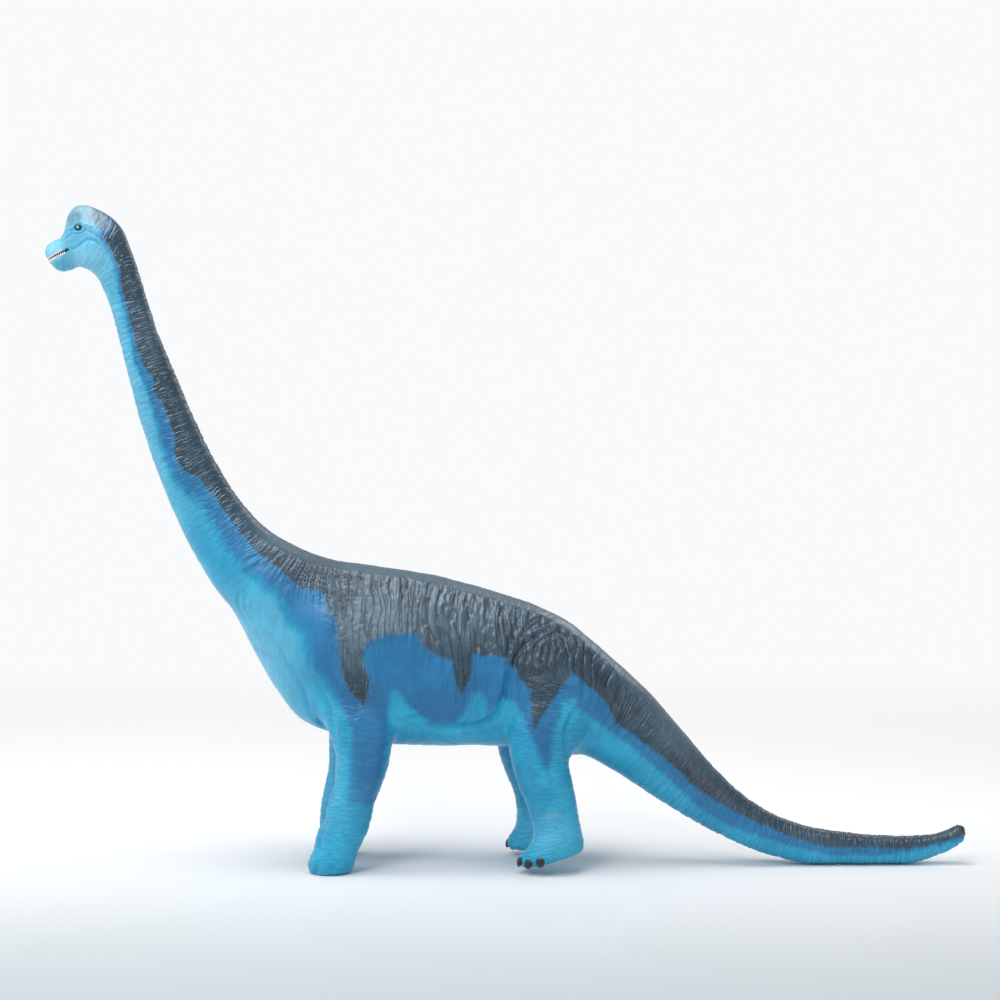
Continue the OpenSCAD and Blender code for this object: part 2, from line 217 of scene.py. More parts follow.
HIND_RIGHT = [
    [1, 5, 45, 8, 15.5, 34], [-1, 8.5, 47.5, 11, 18, 34], [-0.5, 14, 47.5, 17, 18.5, 34],
    [4, 21, 46.5, 25, 18, 34], [6.5, 31, 45, 33, 17, 34], [5.5, 43, 43.5, 45, 16.5, 34],
    [2, 56, 40.5, 57, 17, 34], [-2, 65, 38, 65, 18, 34], [-6, 77, 39, 76, 19, 34],
    [-9, 89, 44, 87, 20, 33], [-9, 106, 54, 99, 22, 31], [-6, 130, 61, 119, 23, 28],
    [5, 158, 56, 145, 12, 20],
]
LEGS = {
    "front_left": (FRONT_LEFT, -1), "front_right": (FRONT_RIGHT, 1),
    "hind_left": (HIND_LEFT, -1), "hind_right": (HIND_RIGHT, 1),
}

# ---------------------------------------------------------------------------
# Curves and noise


def run_along(points):
    """How far each point lies from the first, along the line through them all."""
    return np.concatenate([[0], np.cumsum(np.linalg.norm(np.diff(points, axis=0), axis=1))])


def smooth_rows(rows, count):
    """Catmull-Rom rows at even steps of the length of their centre line."""
    rows = np.array(rows, float)
    t = run_along((rows[:, 0:2] + rows[:, 2:4]) / 2)
    gap = np.diff(t)[:, None]
    slope = np.diff(rows, axis=0) / gap
    inner = (slope[:-1] * gap[1:] + slope[1:] * gap[:-1]) / (gap[1:] + gap[:-1])
    m = np.vstack([slope[:1], inner, slope[-1:]])
    at = np.linspace(0, t[-1], count)
    i = np.clip(np.searchsorted(t, at, side="right") - 1, 0, len(rows) - 2)
    h = gap[i]
    f = ((at - t[i]) / h[:, 0])[:, None]
    return (
        (1 + 2 * f) * (1 - f) ** 2 * rows[i] + f * (1 - f) ** 2 * h * m[i]
        + f * f * (3 - 2 * f) * rows[i + 1] + f * f * (f - 1) * h * m[i + 1]
    )


class Line:
    """A smooth run of elliptical sections: the spine, or a leg."""

    def __init__(self, rows, count, side=1):
        r = smooth_rows(rows, count)
        self.centre = (r[:, 0:2] + r[:, 2:4]) / 2
        across = (r[:, 0:2] - r[:, 2:4]) / 2
        self.half = np.linalg.norm(across, axis=1)
        self.up = across / self.half[:, None]
        self.wide = r[:, 4]
        self.aside = r[:, 5] * side if r.shape[1] > 5 else np.zeros(count)
        self.length = run_along(self.centre)
        forward = np.stack([self.up[:, 1], -self.up[:, 0]], axis=1)
        self.forward = forward * np.sign(np.sum(forward[1:] * np.diff(self.centre, axis=0), axis=1).sum())

    def tube(self, sides=72, square=2.0):
        """Vertices and closed faces of the run, as triangles and quads."""
        a = np.arange(sides) * 2 * math.pi / sides
        ca, sa = np.cos(a), np.sin(a)
        k = (np.abs(ca) ** square + np.abs(sa) ** square) ** (-1 / square)
        ca, sa = ca * k, sa * k
        n = len(self.half)
        v = np.zeros((n, sides, 3))
        v[:, :, 0] = self.centre[:, 0:1] + self.half[:, None] * ca * self.up[:, 0:1]
        v[:, :, 2] = self.centre[:, 1:2] + self.half[:, None] * ca * self.up[:, 1:2]
        v[:, :, 1] = self.aside[:, None] + self.wide[:, None] * sa
        ends = np.array([[self.centre[e, 0], self.aside[e], self.centre[e, 1]] for e in (0, -1)])
        v = np.vstack([v.reshape(-1, 3), ends])
        j, i = np.meshgrid(np.arange(n - 1), np.arange(sides), indexing="ij")
        a0, b0 = (j * sides + i).ravel(), (j * sides + (i + 1) % sides).ravel()
        quads = np.stack([a0, b0, b0 + sides, a0 + sides], axis=1)
        i = np.arange(sides)
        low = np.stack([np.full(sides, n * sides), (i + 1) % sides, i], axis=1)
        base = (n - 1) * sides
        high = np.stack([np.full(sides, n * sides + 1), base + i, base + (i + 1) % sides], axis=1)
        return v, quads, np.vstack([low, high])

    def locate(self, p):
        """For each point: distance along, offset along up and across, and the section's half sizes."""
        out = np.zeros((len(p), 5))
        chunk = 20000
        for start in range(0, len(p), chunk):
            q = p[start:start + chunk]
            dx = q[:, 0:1] - self.centre[None, :, 0]
            dz = q[:, 2:3] - self.centre[None, :, 1]
            f = dx * self.forward[:, 0] + dz * self.forward[:, 1]
            u = np.abs(dx * self.up[:, 0] + dz * self.up[:, 1])
            cost = np.abs(f) + 400 * (u > 1.3 * self.half + 12) + 0.02 * u
            i = cost.argmin(axis=1)
            row = np.arange(len(q))
            fi = f[row, i]
            j = np.clip(i + np.where(fi > 0, 1, -1), 0, len(self.half) - 1)
            fj = f[row, j]
            w = np.where(fi * fj < 0, fi / (fi - fj + EPS), 0)
            mix = lambda arr: arr[i] * (1 - w) + arr[j] * w
            cx, cz = mix(self.centre[:, 0]), mix(self.centre[:, 1])
            ux, uz = mix(self.up[:, 0]), mix(self.up[:, 1])
            out[start:start + chunk, 0] = mix(self.length)
            out[start:start + chunk, 1] = (q[:, 0] - cx) * ux + (q[:, 2] - cz) * uz
            out[start:start + chunk, 2] = q[:, 1] - mix(self.aside)
            out[start:start + chunk, 3] = mix(self.half)
            out[start:start + chunk, 4] = mix(self.wide)
        return out


def hashed(i, j, k, seed):
    """A repeatable random number from 0 to 1 for each whole-number cell."""
    n = (i * 73856093 ^ j * 19349663 ^ k * 83492791 ^ seed * 2654435761) & 0xFFFFFFFF
    n = ((n ^ (n >> 15)) * 2246822519) & 0xFFFFFFFF
    n = ((n ^ (n >> 13)) * 3266489917) & 0xFFFFFFFF
    return ((n ^ (n >> 16)) & 0xFFFFFF) / float(0xFFFFFF)


def corners(f):
    """The eight corners of a unit cell, each with its weight at the places f in the cell."""
    for corner in itertools.product((0, 1), repeat=3):
        weight = 1
        for m, c in enumerate(corner):
            weight = weight * (f[:, m] if c else 1 - f[:, m])
        yield corner, weight


def noise(q, seed):
    """Smooth noise from about -1 to 1 at the points q, with cells one unit wide."""
    base = np.floor(q).astype(np.int64)
    f = q - base
    total = 0
    for (a, b, c), w in corners(f * f * f * (f * (f * 6 - 15) + 10)):
        i, j, k = base[:, 0] + a, base[:, 1] + b, base[:, 2] + c
        g = [hashed(i, j, k, seed * 3 + m) * 2 - 1 for m in range(3)]
        total = total + w * (g[0] * (f[:, 0] - a) + g[1] * (f[:, 1] - b) + g[2] * (f[:, 2] - c))
    return total * 1.6


def noises(q, seed):
    """Three noises at once, to bend a pattern with."""
    return np.stack([noise(q, seed + k) for k in range(3)], axis=1)


def cells(q, seed):
    """Distance to the nearest cell centre, and how much farther the second nearest is."""
    base = np.floor(q).astype(np.int64)
    first = np.full(len(q), 9.0)
    second = np.full(len(q), 9.0)
    for a, b, c in itertools.product((-1, 0, 1), repeat=3):
        i, j, k = base[:, 0] + a, base[:, 1] + b, base[:, 2] + c
        d = np.sqrt(sum((x + hashed(i, j, k, seed * 3 + m) * 0.9 + 0.05 - q[:, m]) ** 2
                        for m, x in enumerate((i, j, k))))
        second = np.minimum(second, np.maximum(first, d))
        first = np.minimum(first, d)
    return first, second - first


def step(x, low, high):
    t = np.clip((x - low) / (high - low), 0, 1)
    return t * t * (3 - 2 * t)


# ---------------------------------------------------------------------------
# Smooth solids on a grid


class Grid:
    """A box of voxels that holds distances, in millimetres."""

    def __init__(self, low, high, voxel, band=12):
        self.voxel, self.band = voxel, band
        self.low = np.floor(np.array(low) / voxel).astype(int)
        self.shape = tuple((np.ceil(np.array(high) / voxel).astype(int) - self.low + 1).tolist())
        self.transform = vdb.createLinearTransform(voxel)

    def points(self):
        axes = [(np.arange(n) + lo) * self.voxel for n, lo in zip(self.shape, self.low)]
        return np.meshgrid(*axes, indexing="ij", sparse=True)

    def distance(self, mesh):
        v, quads, tris = mesh
        level = vdb.FloatGrid.createLevelSetFromPolygons(
            v.astype(np.float32), tris.astype(np.uint32), quads.astype(np.uint32), self.transform, float(self.band))
        out = np.zeros(self.shape, np.float32)
        level.copyToArray(out, tuple(self.low.tolist()))
        return out

    def surface(self, d):
        top = self.band * self.voxel
        level = vdb.FloatGrid(top)
        level.transform = self.transform
        level.copyFromArray(np.clip(d, -top, top).astype(np.float32), tuple(self.low.tolist()))
        v, q = level.convertToQuads(0)
        return v.astype(float), q.astype(np.int64)

    def sample(self, d, p):
        """The grid's value at each point."""
        q = np.clip(p / self.voxel - self.low, 0, np.array(self.shape) - 1.001)
        i = np.floor(q).astype(int)
        return sum(w * d[i[:, 0] + a, i[:, 1] + b, i[:, 2] + c] for (a, b, c), w in corners(q - i))


def join(a, b, k):
    """The union of two distances, rounded over a width k."""
    h = np.maximum(k - np.abs(a - b), 0) / k
    return np.minimum(a, b) - h * h * k * 0.25


def blob(grid, centre, radii, turn=0.0):
    """Distance to an ellipsoid turned about Y by turn degrees, on both sides."""
    x, y, z = grid.points()
    c, s = math.cos(math.radians(turn)), math.sin(math.radians(turn))
    dx, dz = x - centre[0], z - centre[2]
    offsets = (dx * c - dz * s, np.abs(y) - centre[1], dx * s + dz * c)
    q = np.sqrt(sum((d / r) ** 2 for d, r in zip(offsets, radii)))
    g = np.sqrt(sum((d / r ** 2) ** 2 for d, r in zip(offsets, radii)))
    return (q * (q - 1) / (g + EPS)).astype(np.float32)


def sides_of(quads):
    """The four sides of every face, as pairs of vertices."""
    return np.vstack([quads[:, [k, (k + 1) % 4]] for k in range(4)])


def edges_of(quads):
    return np.unique(np.sort(sides_of(quads), axis=1), axis=0)


def shared(v, quads, one, other):
    """Which vertices belong to a face of both sets of faces."""
    touched = np.zeros((2, len(v)), bool)
    touched[0, quads[one]] = True
    touched[1, quads[other]] = True
    return touched[0] & touched[1]


def relax(v, e, rounds, pull=0.5):
    """Evens the vertices out without shrinking the shape."""
    n = len(v)
    count = np.bincount(e.ravel(), minlength=n)[:, None]
    for _ in range(rounds):
        for k in (pull, -pull * 1.04):
            total = np.stack([np.bincount(e[:, 0], v[e[:, 1], m], n) + np.bincount(e[:, 1], v[e[:, 0], m], n)
                              for m in range(3)], axis=1)
            v = v + k * (total / count - v)
    return v


def normals_of(v, quads):
    n = np.cross(v[quads[:, 2]] - v[quads[:, 0]], v[quads[:, 3]] - v[quads[:, 1]])
    out = np.stack([sum(np.bincount(quads[:, k], n[:, m], len(v)) for k in range(4)) for m in range(3)], axis=1)
    return out / (np.linalg.norm(out, axis=1)[:, None] + EPS)


def along(points, p, q):
    """How far each point lies from the segment p-q, and where along it, from 0 to 1."""
    p, q = np.array(p, float), np.array(q, float)
    d = q - p
    t = np.clip((points - p) @ d / (d @ d + EPS), 0, 1)
    return np.linalg.norm(points - p - t[:, None] * d, axis=1), t


def to_path(points, path):
    """Distance to a polyline."""
    out = np.full(len(points), 999.0)
    for p, q in zip(path[:-1], path[1:]):
        out = np.minimum(out, along(points, p, q)[0])
    return out


def inside(points, outline):
    """Signed distance to a closed outline, positive inside."""
    path = list(outline) + [outline[0]]
    d = to_path(points, path)
    odd = np.zeros(len(points), bool)
    for (x0, z0), (x1, z1) in zip(path[:-1], path[1:]):
        if z0 == z1:
            continue
        cross = (z0 > points[:, 1]) != (z1 > points[:, 1])
        odd ^= cross & (points[:, 0] < (x1 - x0) * (points[:, 1] - z0) / (z1 - z0) + x0)
    return np.where(odd, d, -d)


def bump_at(x, width):
    return np.exp(-(x / width) ** 2)


def srgb(r, g, b):
    """A colour given in the usual 0 to 255 display values, as linear light."""
    return tuple(c / 255 / 12.92 if c <= 10 else ((c / 255 + 0.055) / 1.055) ** 2.4 for c in (r, g, b))


# ---------------------------------------------------------------------------
# Paint outlines and folds, in millimetres [x, z], the same on both flanks

SLATE = [
    [-322, 540], [-320, 508], [-315, 496], [-307.5, 482.5], [-300.5, 467], [-298.5, 448.5], [-294.5, 433.5],
    [-288.5, 409.5], [-284.5, 395], [-273.5, 378], [-275, 369.5], [-266, 360], [-262, 344.5], [-258, 334],
    [-258, 320], [-251, 308.5], [-239.5, 303], [-229.5, 291.5], [-219, 276], [-205, 259], [-196.5, 247.5],
    [-178, 234], [-160, 218.5], [-143.5, 215.5], [-136.5, 202.5], [-131, 191], [-131, 177.5], [-128, 155.5],
    [-122, 140.5], [-111, 128], [-106.5, 144.5], [-111, 163], [-110.5, 175], [-103.5, 179.5], [-90, 183.5],
    [-71.5, 185], [-67.5, 177.5], [-57, 168], [-42.5, 163], [-41, 146], [-37, 137], [-30.5, 146], [-28, 168],
    [-3, 166], [4, 157.5], [11.5, 144.5], [17, 140.5], [17, 123], [20, 112.5], [29.5, 127], [40, 143],
    [49, 153.5], [60, 144.5], [74.5, 130.5], [83, 113.5], [105, 97.5], [127, 80], [149, 59], [167.5, 47.5],
    [193, 34], [228, 19.5], [248, 14.5], [281, 14.5], [302.5, 12.5], [326.5, 14.5], [352.5, 21.5],
    [380, 26], [380, 200], [0, 420], [-200, 560], [-322, 560],
]
BLUE = [
    [-322, 540], [-321, 506], [-316.5, 497], [-313.5, 488], [-309, 478], [-304.5, 468.5], [-301.2, 448.5],
    [-296.8, 431.5], [-291.5, 408], [-289, 392.5], [-280, 373.5], [-275.5, 358], [-269.5, 338.5], [-265, 319],
    [-256, 299.5], [-241, 286.5], [-228, 269], [-214, 243.5], [-192.5, 223.5], [-178, 214], [-167, 191],
    [-158, 184.5], [-152.5, 163], [-140, 146], [-129.5, 132.5], [-120, 110.5], [-119.5, 98], [-121.5, 82.5],
    [-122.5, 67.5], [-123, 53.5], [-112.5, 51.5], [-103.5, 53.5], [-100, 67.5], [-97, 82.5], [-94, 98],
    [-93.5, 110.5], [-91.5, 139], [-87, 140.5], [-82, 136], [-78.5, 129.5], [-67, 119.5], [-57, 114],
    [-48, 112.5], [-39.5, 114], [-32, 127], [-28, 138], [-22.5, 139.5], [-17.5, 131.5], [-16, 122.5],
    [-10.5, 128], [-5, 134], [3.5, 131.5], [11.5, 120], [17, 105.5], [22.5, 93], [25.5, 82.5], [29, 76.5],
    [31.5, 82.5], [33, 98], [34.5, 109], [38.5, 119.5], [40, 131.5], [46, 134], [50.5, 133.5], [53, 126],
    [72, 111.5], [94, 95.5], [124.5, 68], [149, 46], [171.5, 31], [200, 21.5], [228, 13.5], [254.5, 7.5],
    [298, 8.5], [324.5, 12.5], [352.5, 19], [390, 24], [390, 200], [0, 440], [-200, 580], [-322, 580],
]
# [depth, width, points]
FOLDS = [
    [1.5, 2.0, [[29, 185.5], [17.5, 180.6], [9.8, 172.8], [4.3, 163.4], [0.4, 154], [-2, 146], [-3.9, 136],
                [-5.9, 129.9], [-9.8, 120.5], [-17.6, 115.3], [-28, 111.4], [-41, 111.4], [-54, 109.6],
                [-60.5, 112]]],
    [0.9, 1.5, [[7, 193], [4.5, 185.5], [0.6, 175], [-0.6, 165]]],
    [0.9, 1.5, [[33, 194.6], [22.8, 192], [15, 187], [9.8, 180.6]]],
    [0.8, 1.4, [[41, 185.5], [33, 189.4], [25, 189.4], [18.9, 185.5]]],
    [0.7, 1.4, [[46, 180], [37, 184], [27, 181], [19, 173], [13, 163]]],
    [0.9, 1.6, [[52.6, 127], [47.4, 120.5], [44, 112.7], [42.9, 101], [43.3, 90.9]]],
    [1.2, 1.6, [[-65.9, 126], [-68, 120.5], [-76, 118.6], [-82.5, 116.6]]],
    [0.9, 1.5, [[-66, 131], [-74, 125], [-82, 123]]],
    [1.0, 1.5, [[-51, 118], [-59, 112.7], [-64, 111.4]]],
    [0.9, 1.5, [[-28, 116.6], [-35.7, 112.7], [-42.5, 110]]],
    [1.0, 1.7, [[-200.9, 202.4], [-198.5, 196], [-190.7, 189.4]]],
    [0.6, 1.5, [[-203, 210], [-204, 201], [-198, 190]]],
    [0.8, 1.5, [[-179, 194.6], [-180, 183]]],
    [1.0, 1.8, [[-150, 120.5], [-144, 108.8], [-139, 103.6]]],
    [0.6, 1.6, [[-168, 160], [-158, 140], [-152, 118]]],
    [0.9, 2.0, [[-154, 158], [-147, 142], [-139, 130], [-135.5, 113], [-132.6, 101]]],
    [0.7, 1.3, [[-208, 214], [-209.5, 205], [-205, 196], [-199, 188]]],
    [0.6, 1.3, [[-198, 206], [-196, 199], [-189, 193]]],
    [0.7, 1.4, [[-186, 186], [-176, 172], [-166, 152]]],
]
SEAM = [[-197, 172], [-40, 95.5]]
MOUTH = [[-361, 470.5], [-337, 482]]
RECESS = [
    [-339, 510], [-333, 508], [-332.7, 505], [-333.5, 502.7], [-339, 499.7], [-341.8, 498.8], [-343.5, 505.8],
]
CREST = [
    [-345, 497], [-346, 512], [-335, 520], [-318, 516], [-308, 500], [-313, 494], [-321, 500], [-330, 502],
    [-338, 500.5],
]
LIDS = [-334.4, 498]
EYEBALL = [-332, 497.3]
SHOULDER = [[-160, 225], [-138, 238], [-98, 228], [-96, 180], [-104, 130], [-128, 128], [-138, 190]]
HIP = [33, 166]
# [depth, points] of the grooves between the toes of the front feet, then the grooves over the hind claws
TOES = [[1.9, [[-142.5, 42], [-144.3, 32.6], [-147, 15], [-148.6, 0]]], [0.7, [[-137.5, 14], [-136, 0]]],
        [0.7, [[-125, 13], [-123.5, 0]]]]
CLAW_X = [11.8, 19, 29.5]
# [depth, or height where negative, width, points]: brow, jaw, lips and the creases of the face
FACE = [
    [-0.8, 1.6, [[-341, 500.5], [-336, 503], [-330, 502], [-325, 499]]],
    [1.1, 0.95, [[-338.5, 481.3], [-336, 482.6], [-330.5, 486.7], [-327, 488.8], [-321, 487.6], [-317.5, 484]]],
    [-0.35, 1.0, [[-358, 475.8], [-340, 484.2]]],
    [-0.3, 1.0, [[-356.5, 469], [-340, 477.3]]],
    [0.5, 0.9, [[-329, 496], [-322, 493], [-316, 488]]],
    [0.5, 0.9, [[-316, 489], [-313, 479], [-314, 470], [-318, 464]]],
    [0.45, 0.8, [[-311, 489], [-308, 477], [-309, 468]]],
    [0.5, 0.9, [[-349, 487], [-343, 489.5], [-339, 493]]],
    [0.4, 0.9, [[-346, 466.5], [-339, 471], [-331, 474]]],
    [0.45, 0.8, [[-331, 468.3], [-325, 471], [-320, 469]]],
    [0.4, 0.7, [[-322, 463], [-316, 466], [-311, 462]]],
    [0.5, 0.7, [[-309, 505.5], [-311, 499], [-314, 495]]],
    [0.5, 0.7, [[-305, 502], [-307.5, 496], [-310.5, 491]]],
    [0.4, 0.7, [[-317, 510.5], [-317.5, 505], [-321, 500.5]]],
]
# muscles under the skin: centre, radii, turn in degrees
MUSCLES = [
    [(33, 25, 138), (29, 24, 45), -8], [(-118, 24, 162), (29, 24.5, 46), 12], [(-146, 16, 178), (30, 22, 34), 40],
]
FRONT_TOP, HIND_TOP = 95.0, 90.0  # where the leg skins end at the top
SQUARE = 2.15  # how square the sections are; 2 is an ellipse

spine = Line(SPINE, 1100)
legs = {name: Line(rows, 200, side) for name, (rows, side) in LEGS.items()}
CUT = {name: spine.locate(np.array([[x, 0.0, z]]))[0, 0] for name, x, z in (
    ("head", -302.5, 459.5), ("upper", -281, 393), ("middle", -250.5, 313), ("base", -199, 231),
    ("root", 70, 122), ("tail", 127, 74), ("tip", 206, 22))}
# faces are labelled by the cut they follow, 0 for the head to 7 for the tip of the tail, or by these
TRUNK, FIRST_LEG, BREAST = 4, 20, 30

# how wide one wrinkle is along the body, and how many lie between the snout and each station
WIDTHS = [[0, 4.4], [CUT["upper"], 4.4], [CUT["base"] - 40, 4.8], [CUT["base"] + 60, 6.0],
          [CUT["root"], 5.6], [CUT["tail"], 4.4], [CUT["tip"], 3.8]]
spacing = np.interp(spine.length, *zip(*WIDTHS))
phase = np.concatenate([[0], np.cumsum(np.diff(spine.length) / spacing[1:])])

mouth_tilt = math.atan2(MOUTH[1][1] - MOUTH[0][1], MOUTH[1][0] - MOUTH[0][0])
MOUTH_X, MOUTH_Z = math.cos(mouth_tilt), math.sin(mouth_tilt)

# ---------------------------------------------------------------------------
# The skin: one smooth surface for the body, and a finer one for the head


def sculpt_body(grid):
    d = grid.distance(spine.tube(96, SQUARE))
    for name, leg in legs.items():
        d = join(d, grid.distance(leg.tube(64)), 8 if name.startswith("front") else 3)
    for centre, radii, turn in MUSCLES:
        d = join(d, blob(grid, centre, radii, turn), 14)
    return d


def sculpt_head(grid):
    """The head's distances, whole and with the mouth cut into them."""
    sides = 110
    v, quads, tris = spine.tube(sides, SQUARE)
    row = np.minimum(np.arange(len(v)) // sides, len(spine.half) - 1)
    (cx, cz), (ux, uz) = spine.centre[row].T, spine.up[row].T
    rise = ((v[:, 0] - cx) * ux + (v[:, 2] - cz) * uz) / spine.half[row]
    crest = step(cx, -351, -342) * (1 - step(cx, -318, -300))
    chin = step(cx, -352, -346) * (1 - step(cx, -332, -322))
    v[:, 1] *= 1 - 0.36 * step(rise, 0.3, 1) * crest
    v[:, 1] *= 1 - 0.16 * step(-rise, 0.35, 1) * chin
    d = grid.distance((v, quads, tris))
    d = join(d, blob(grid, (-324.5, 10.5, 478), (12, 7.4, 11.5), -20), 6)
    x, _, z = grid.points()
    dx, dz = x - MOUTH[0][0], z - MOUTH[0][1]
    u, w = dx * MOUTH_X + dz * MOUTH_Z, dz * MOUTH_X - dx * MOUTH_Z
    open_by, deep, far, lip = 2.3 - 0.06 * np.clip(u, 0, 30), 2.3, 24.0, 0.9
    slot = np.maximum(np.maximum(np.abs(w) - open_by, u - far), -(d + deep)).astype(np.float32)
    h = np.maximum(lip - np.abs(d + slot), 0) / lip
    return d, np.maximum(d, -slot) + h * h * lip * 0.25


def patch(x, z, cx, cz, rx, rz, power=2):
    """A soft-edged patch, 1 at its middle."""
    return np.exp(-((x - cx) / rx) ** power - ((z - cz) / rz) ** power)


def pad(q, seed, width, sunk, crown=0.0):
    """The height of pads between creases, from the cell pattern at the points q."""
    first, gap = cells(q, seed)
    return step(gap, 0.0, width) - sunk + crown * np.clip(1 - first, 0, 1)


def fold_height(xz, side):
    """The larger folds: a groove, with a low ridge along it."""
    h = 0
    for depth, width, path in FOLDS:
        d = to_path(xz, path)
        from_end = np.minimum(np.linalg.norm(xz - path[0], axis=1), np.linalg.norm(xz - path[-1], axis=1))
        ends = np.clip(from_end / 8, 0.35, 1)
        h = h - 1.8 * side * ends * depth * bump_at(d, width)
        h = h + side * 0.4 * depth * bump_at(d - 2.6 * width, 1.6 * width)
    return h


def foot_height(v, xz, side, leg_share):
    """The grooves between the toes of the front feet and over the claws of the hind feet."""
    h = 0
    for depth, path in TOES:
        at_toe = bump_at(to_path(xz, path), 1.5) * leg_share * (v[:, 0] < -60)
        h = h - np.maximum(side, 0.6) * depth * at_toe
    foot = leg_share * (1 - step(v[:, 2], 10, 22)) * side * (v[:, 0] > -60)
    for cx in CLAW_X:
        far_side = np.where(v[:, 1] > 0, -9.3, 0)
        h = h - 0.8 * foot * bump_at(v[:, 0] - cx - far_side, 1.7)
    return h


def shaped(v, n, at, leg_at, leg_share):
    """The height of wrinkles and folds at each vertex, in millimetres, and what the paint needs."""
    xz = v[:, [0, 2]] - np.abs(v[:, 1:2]) * [0, 0.058]
    side = step(np.abs(n[:, 1]), 0.1, 0.55)
    x, y, z = v[:, 0], np.abs(v[:, 1]), v[:, 2]
    s, up, half = at[:, 0], at[:, 1], at[:, 3]
    slate = inside(xz, SLATE)

    # regions of the body, each from 0 to 1
    head = 1 - step(s, CUT["head"] - 12, CUT["head"] + 6)
    tail = step(x, 60, 120) * (1 - leg_share)
    neck = 1 - step(s, CUT["base"] - 30, CUT["base"] + 25)
    flank = (1 - neck) * (1 - tail) * (1 - leg_share)
    thigh = np.maximum(patch(x, z, 33, 128, 22, 34, 4), patch(x, z, -117, 138, 15, 36, 4)) * side
    limb = np.maximum(leg_share, thigh)
    back = step(y, 16, 23)
    dorsal = step(up / half, 0.3, 0.7) * step(s, CUT["base"] - 60, CUT["base"])
    dorsal = dorsal * (1 - step(s, CUT["tail"] - 20, CUT["tail"] + 60))
    calm = 1 - dorsal * (1 - back) * 0.85
    shoulder = np.clip(inside(xz, SHOULDER) / 12 + 0.6, 0, 1) * side
    r = np.hypot(xz[:, 0] - HIP[0], (xz[:, 1] - HIP[1]) * 0.95) + 1.6 * noise(v / 12, 41)
    around = np.arctan2(xz[:, 1] - HIP[1], xz[:, 0] - HIP[0])
    hip = step(r, 9, 13) * (1 - step(r, 29, 34)) * side
    hip = hip * np.maximum(step(around, 0.5, 1.0), step(-around, 2.5, 2.9))

    # cell patterns that follow the body and the legs
    swirl, fine = noises(v / 26, 5), noises(v / 9, 15)
    upright = step(s, CUT["base"] - 5, CUT["base"] + 50) * (1 - step(x, 35, 85))
    along_body = at[:, 5] * (1 - upright) + np.interp(x, spine.centre[:, 0], phase) * upright
    reach = 24 + 28 * flank
    flow = np.stack([along_body, at[:, 1] / reach, at[:, 2] / reach], axis=1) + swirl * [0.55, 0.3, 0.3]
    pads = pad(flow + fine * [0.26, 0.12, 0.12], 21, 0.26, 0.85, 0.35)
    leg_flow = leg_at[:, 0:3] / [2.7, 17, 17] + swirl * [1.1, 0.4, 0.4]
    leg_pads = pad(leg_flow + fine * [0.3, 0.15, 0.15], 22, 0.34, 0.8, 0.3)
    crackle = pad(v / 6.4 + swirl * 0.6 + fine * 0.35, 23, 0.16, 0.9)

    deep = neck * 0.46 + tail * 0.5 + flank * (0.4 + 1.05 * step(slate, -14, 8))
    deep = deep * (1 - 0.55 * step(-slate, 4, 26) * (1 - tail)) * (1 - head) * calm
    h = deep * pads * (1 - 0.55 * shoulder) * (1 - 0.8 * hip) + 0.8 * shoulder * crackle * calm
    h = h - 1.1 * hip * (0.5 + 0.5 * np.cos(2 * math.pi * r / 4.8)) ** 3
    h = h * (1 - limb) + limb * leg_pads * (0.42 + 0.15 * thigh) + fold_height(xz, side)
    ridge = dorsal * (1 - step(s, CUT["root"] - 10, CUT["root"] + 60))
    h = h + ridge * (1.0 * bump_at(y - 20, 4.5) - 0.5 * bump_at(y - 28, 4.5))
    seam, t = along(xz, *SEAM)
    h = h - 0.75 * bump_at(seam, 0.7) * ((t > 0) & (t < 1)) * side * (1 - leg_share)
    h = h + foot_height(v, xz, side, leg_share) + 0.35 * noise(v / 18, 31) * (1 - head)

    # what the paint needs; blue stops short of the inner side of the legs and is soft on the breast
    blue = inside(xz, BLUE)
    blue = np.where(leg_share * (z < 104) > 0.3, np.minimum(blue, y - 33), blue)
    blue = blue / (1 + 1.5 * step(-x, 122, 150) * (1 - leg_share) * (1 - step(z, 300, 380)))
    soft = 0.8 + 0.9 * (1 - neck) + 1.1 * step(-slate, 3, 12) * (1 - 0.5 * tail)
    # streak: where the lighter hairs go, partly worn paint and partly painted highlight
    streak = bump_at(slate - 2, 6) * (neck + 0.5 * shoulder) + 0.22 * neck * step(slate, 0, 4) + 0.3 * tail
    # painted highlight on the shoulder and the front of the flank, which goes into dorsal with the painted highlight
    # along the top of the back
    painted_shoulder_highlight = 2.8 * patch(x, z, -110, 196, 30, 30) + 1.7 * patch(x, z, -55, 196, 55, 22)
    return h, {
        "slate": slate, "blue": blue, "leg": limb, "soft": soft, "streak": np.clip(streak, 0, 1),
        "deep": np.clip(np.maximum(deep, 0.5 * limb) + 0.3 * head, 0, 1) * calm, "shoulder": shoulder,
        "dorsal": dorsal * np.maximum(1 - back, bump_at(y - 20, 5)) + side * painted_shoulder_highlight,
        "flow": flow, "legflow": leg_flow, "rest": v.copy(),
    }


def faced(v):
    """The place of a point of the head in its side view, which is drawn as seen from two metres."""
    middle = [-5.85, 400]
    return (v[:, [0, 2]] - middle) / (1 - np.abs(v[:, 1:2]) / 2000) + middle


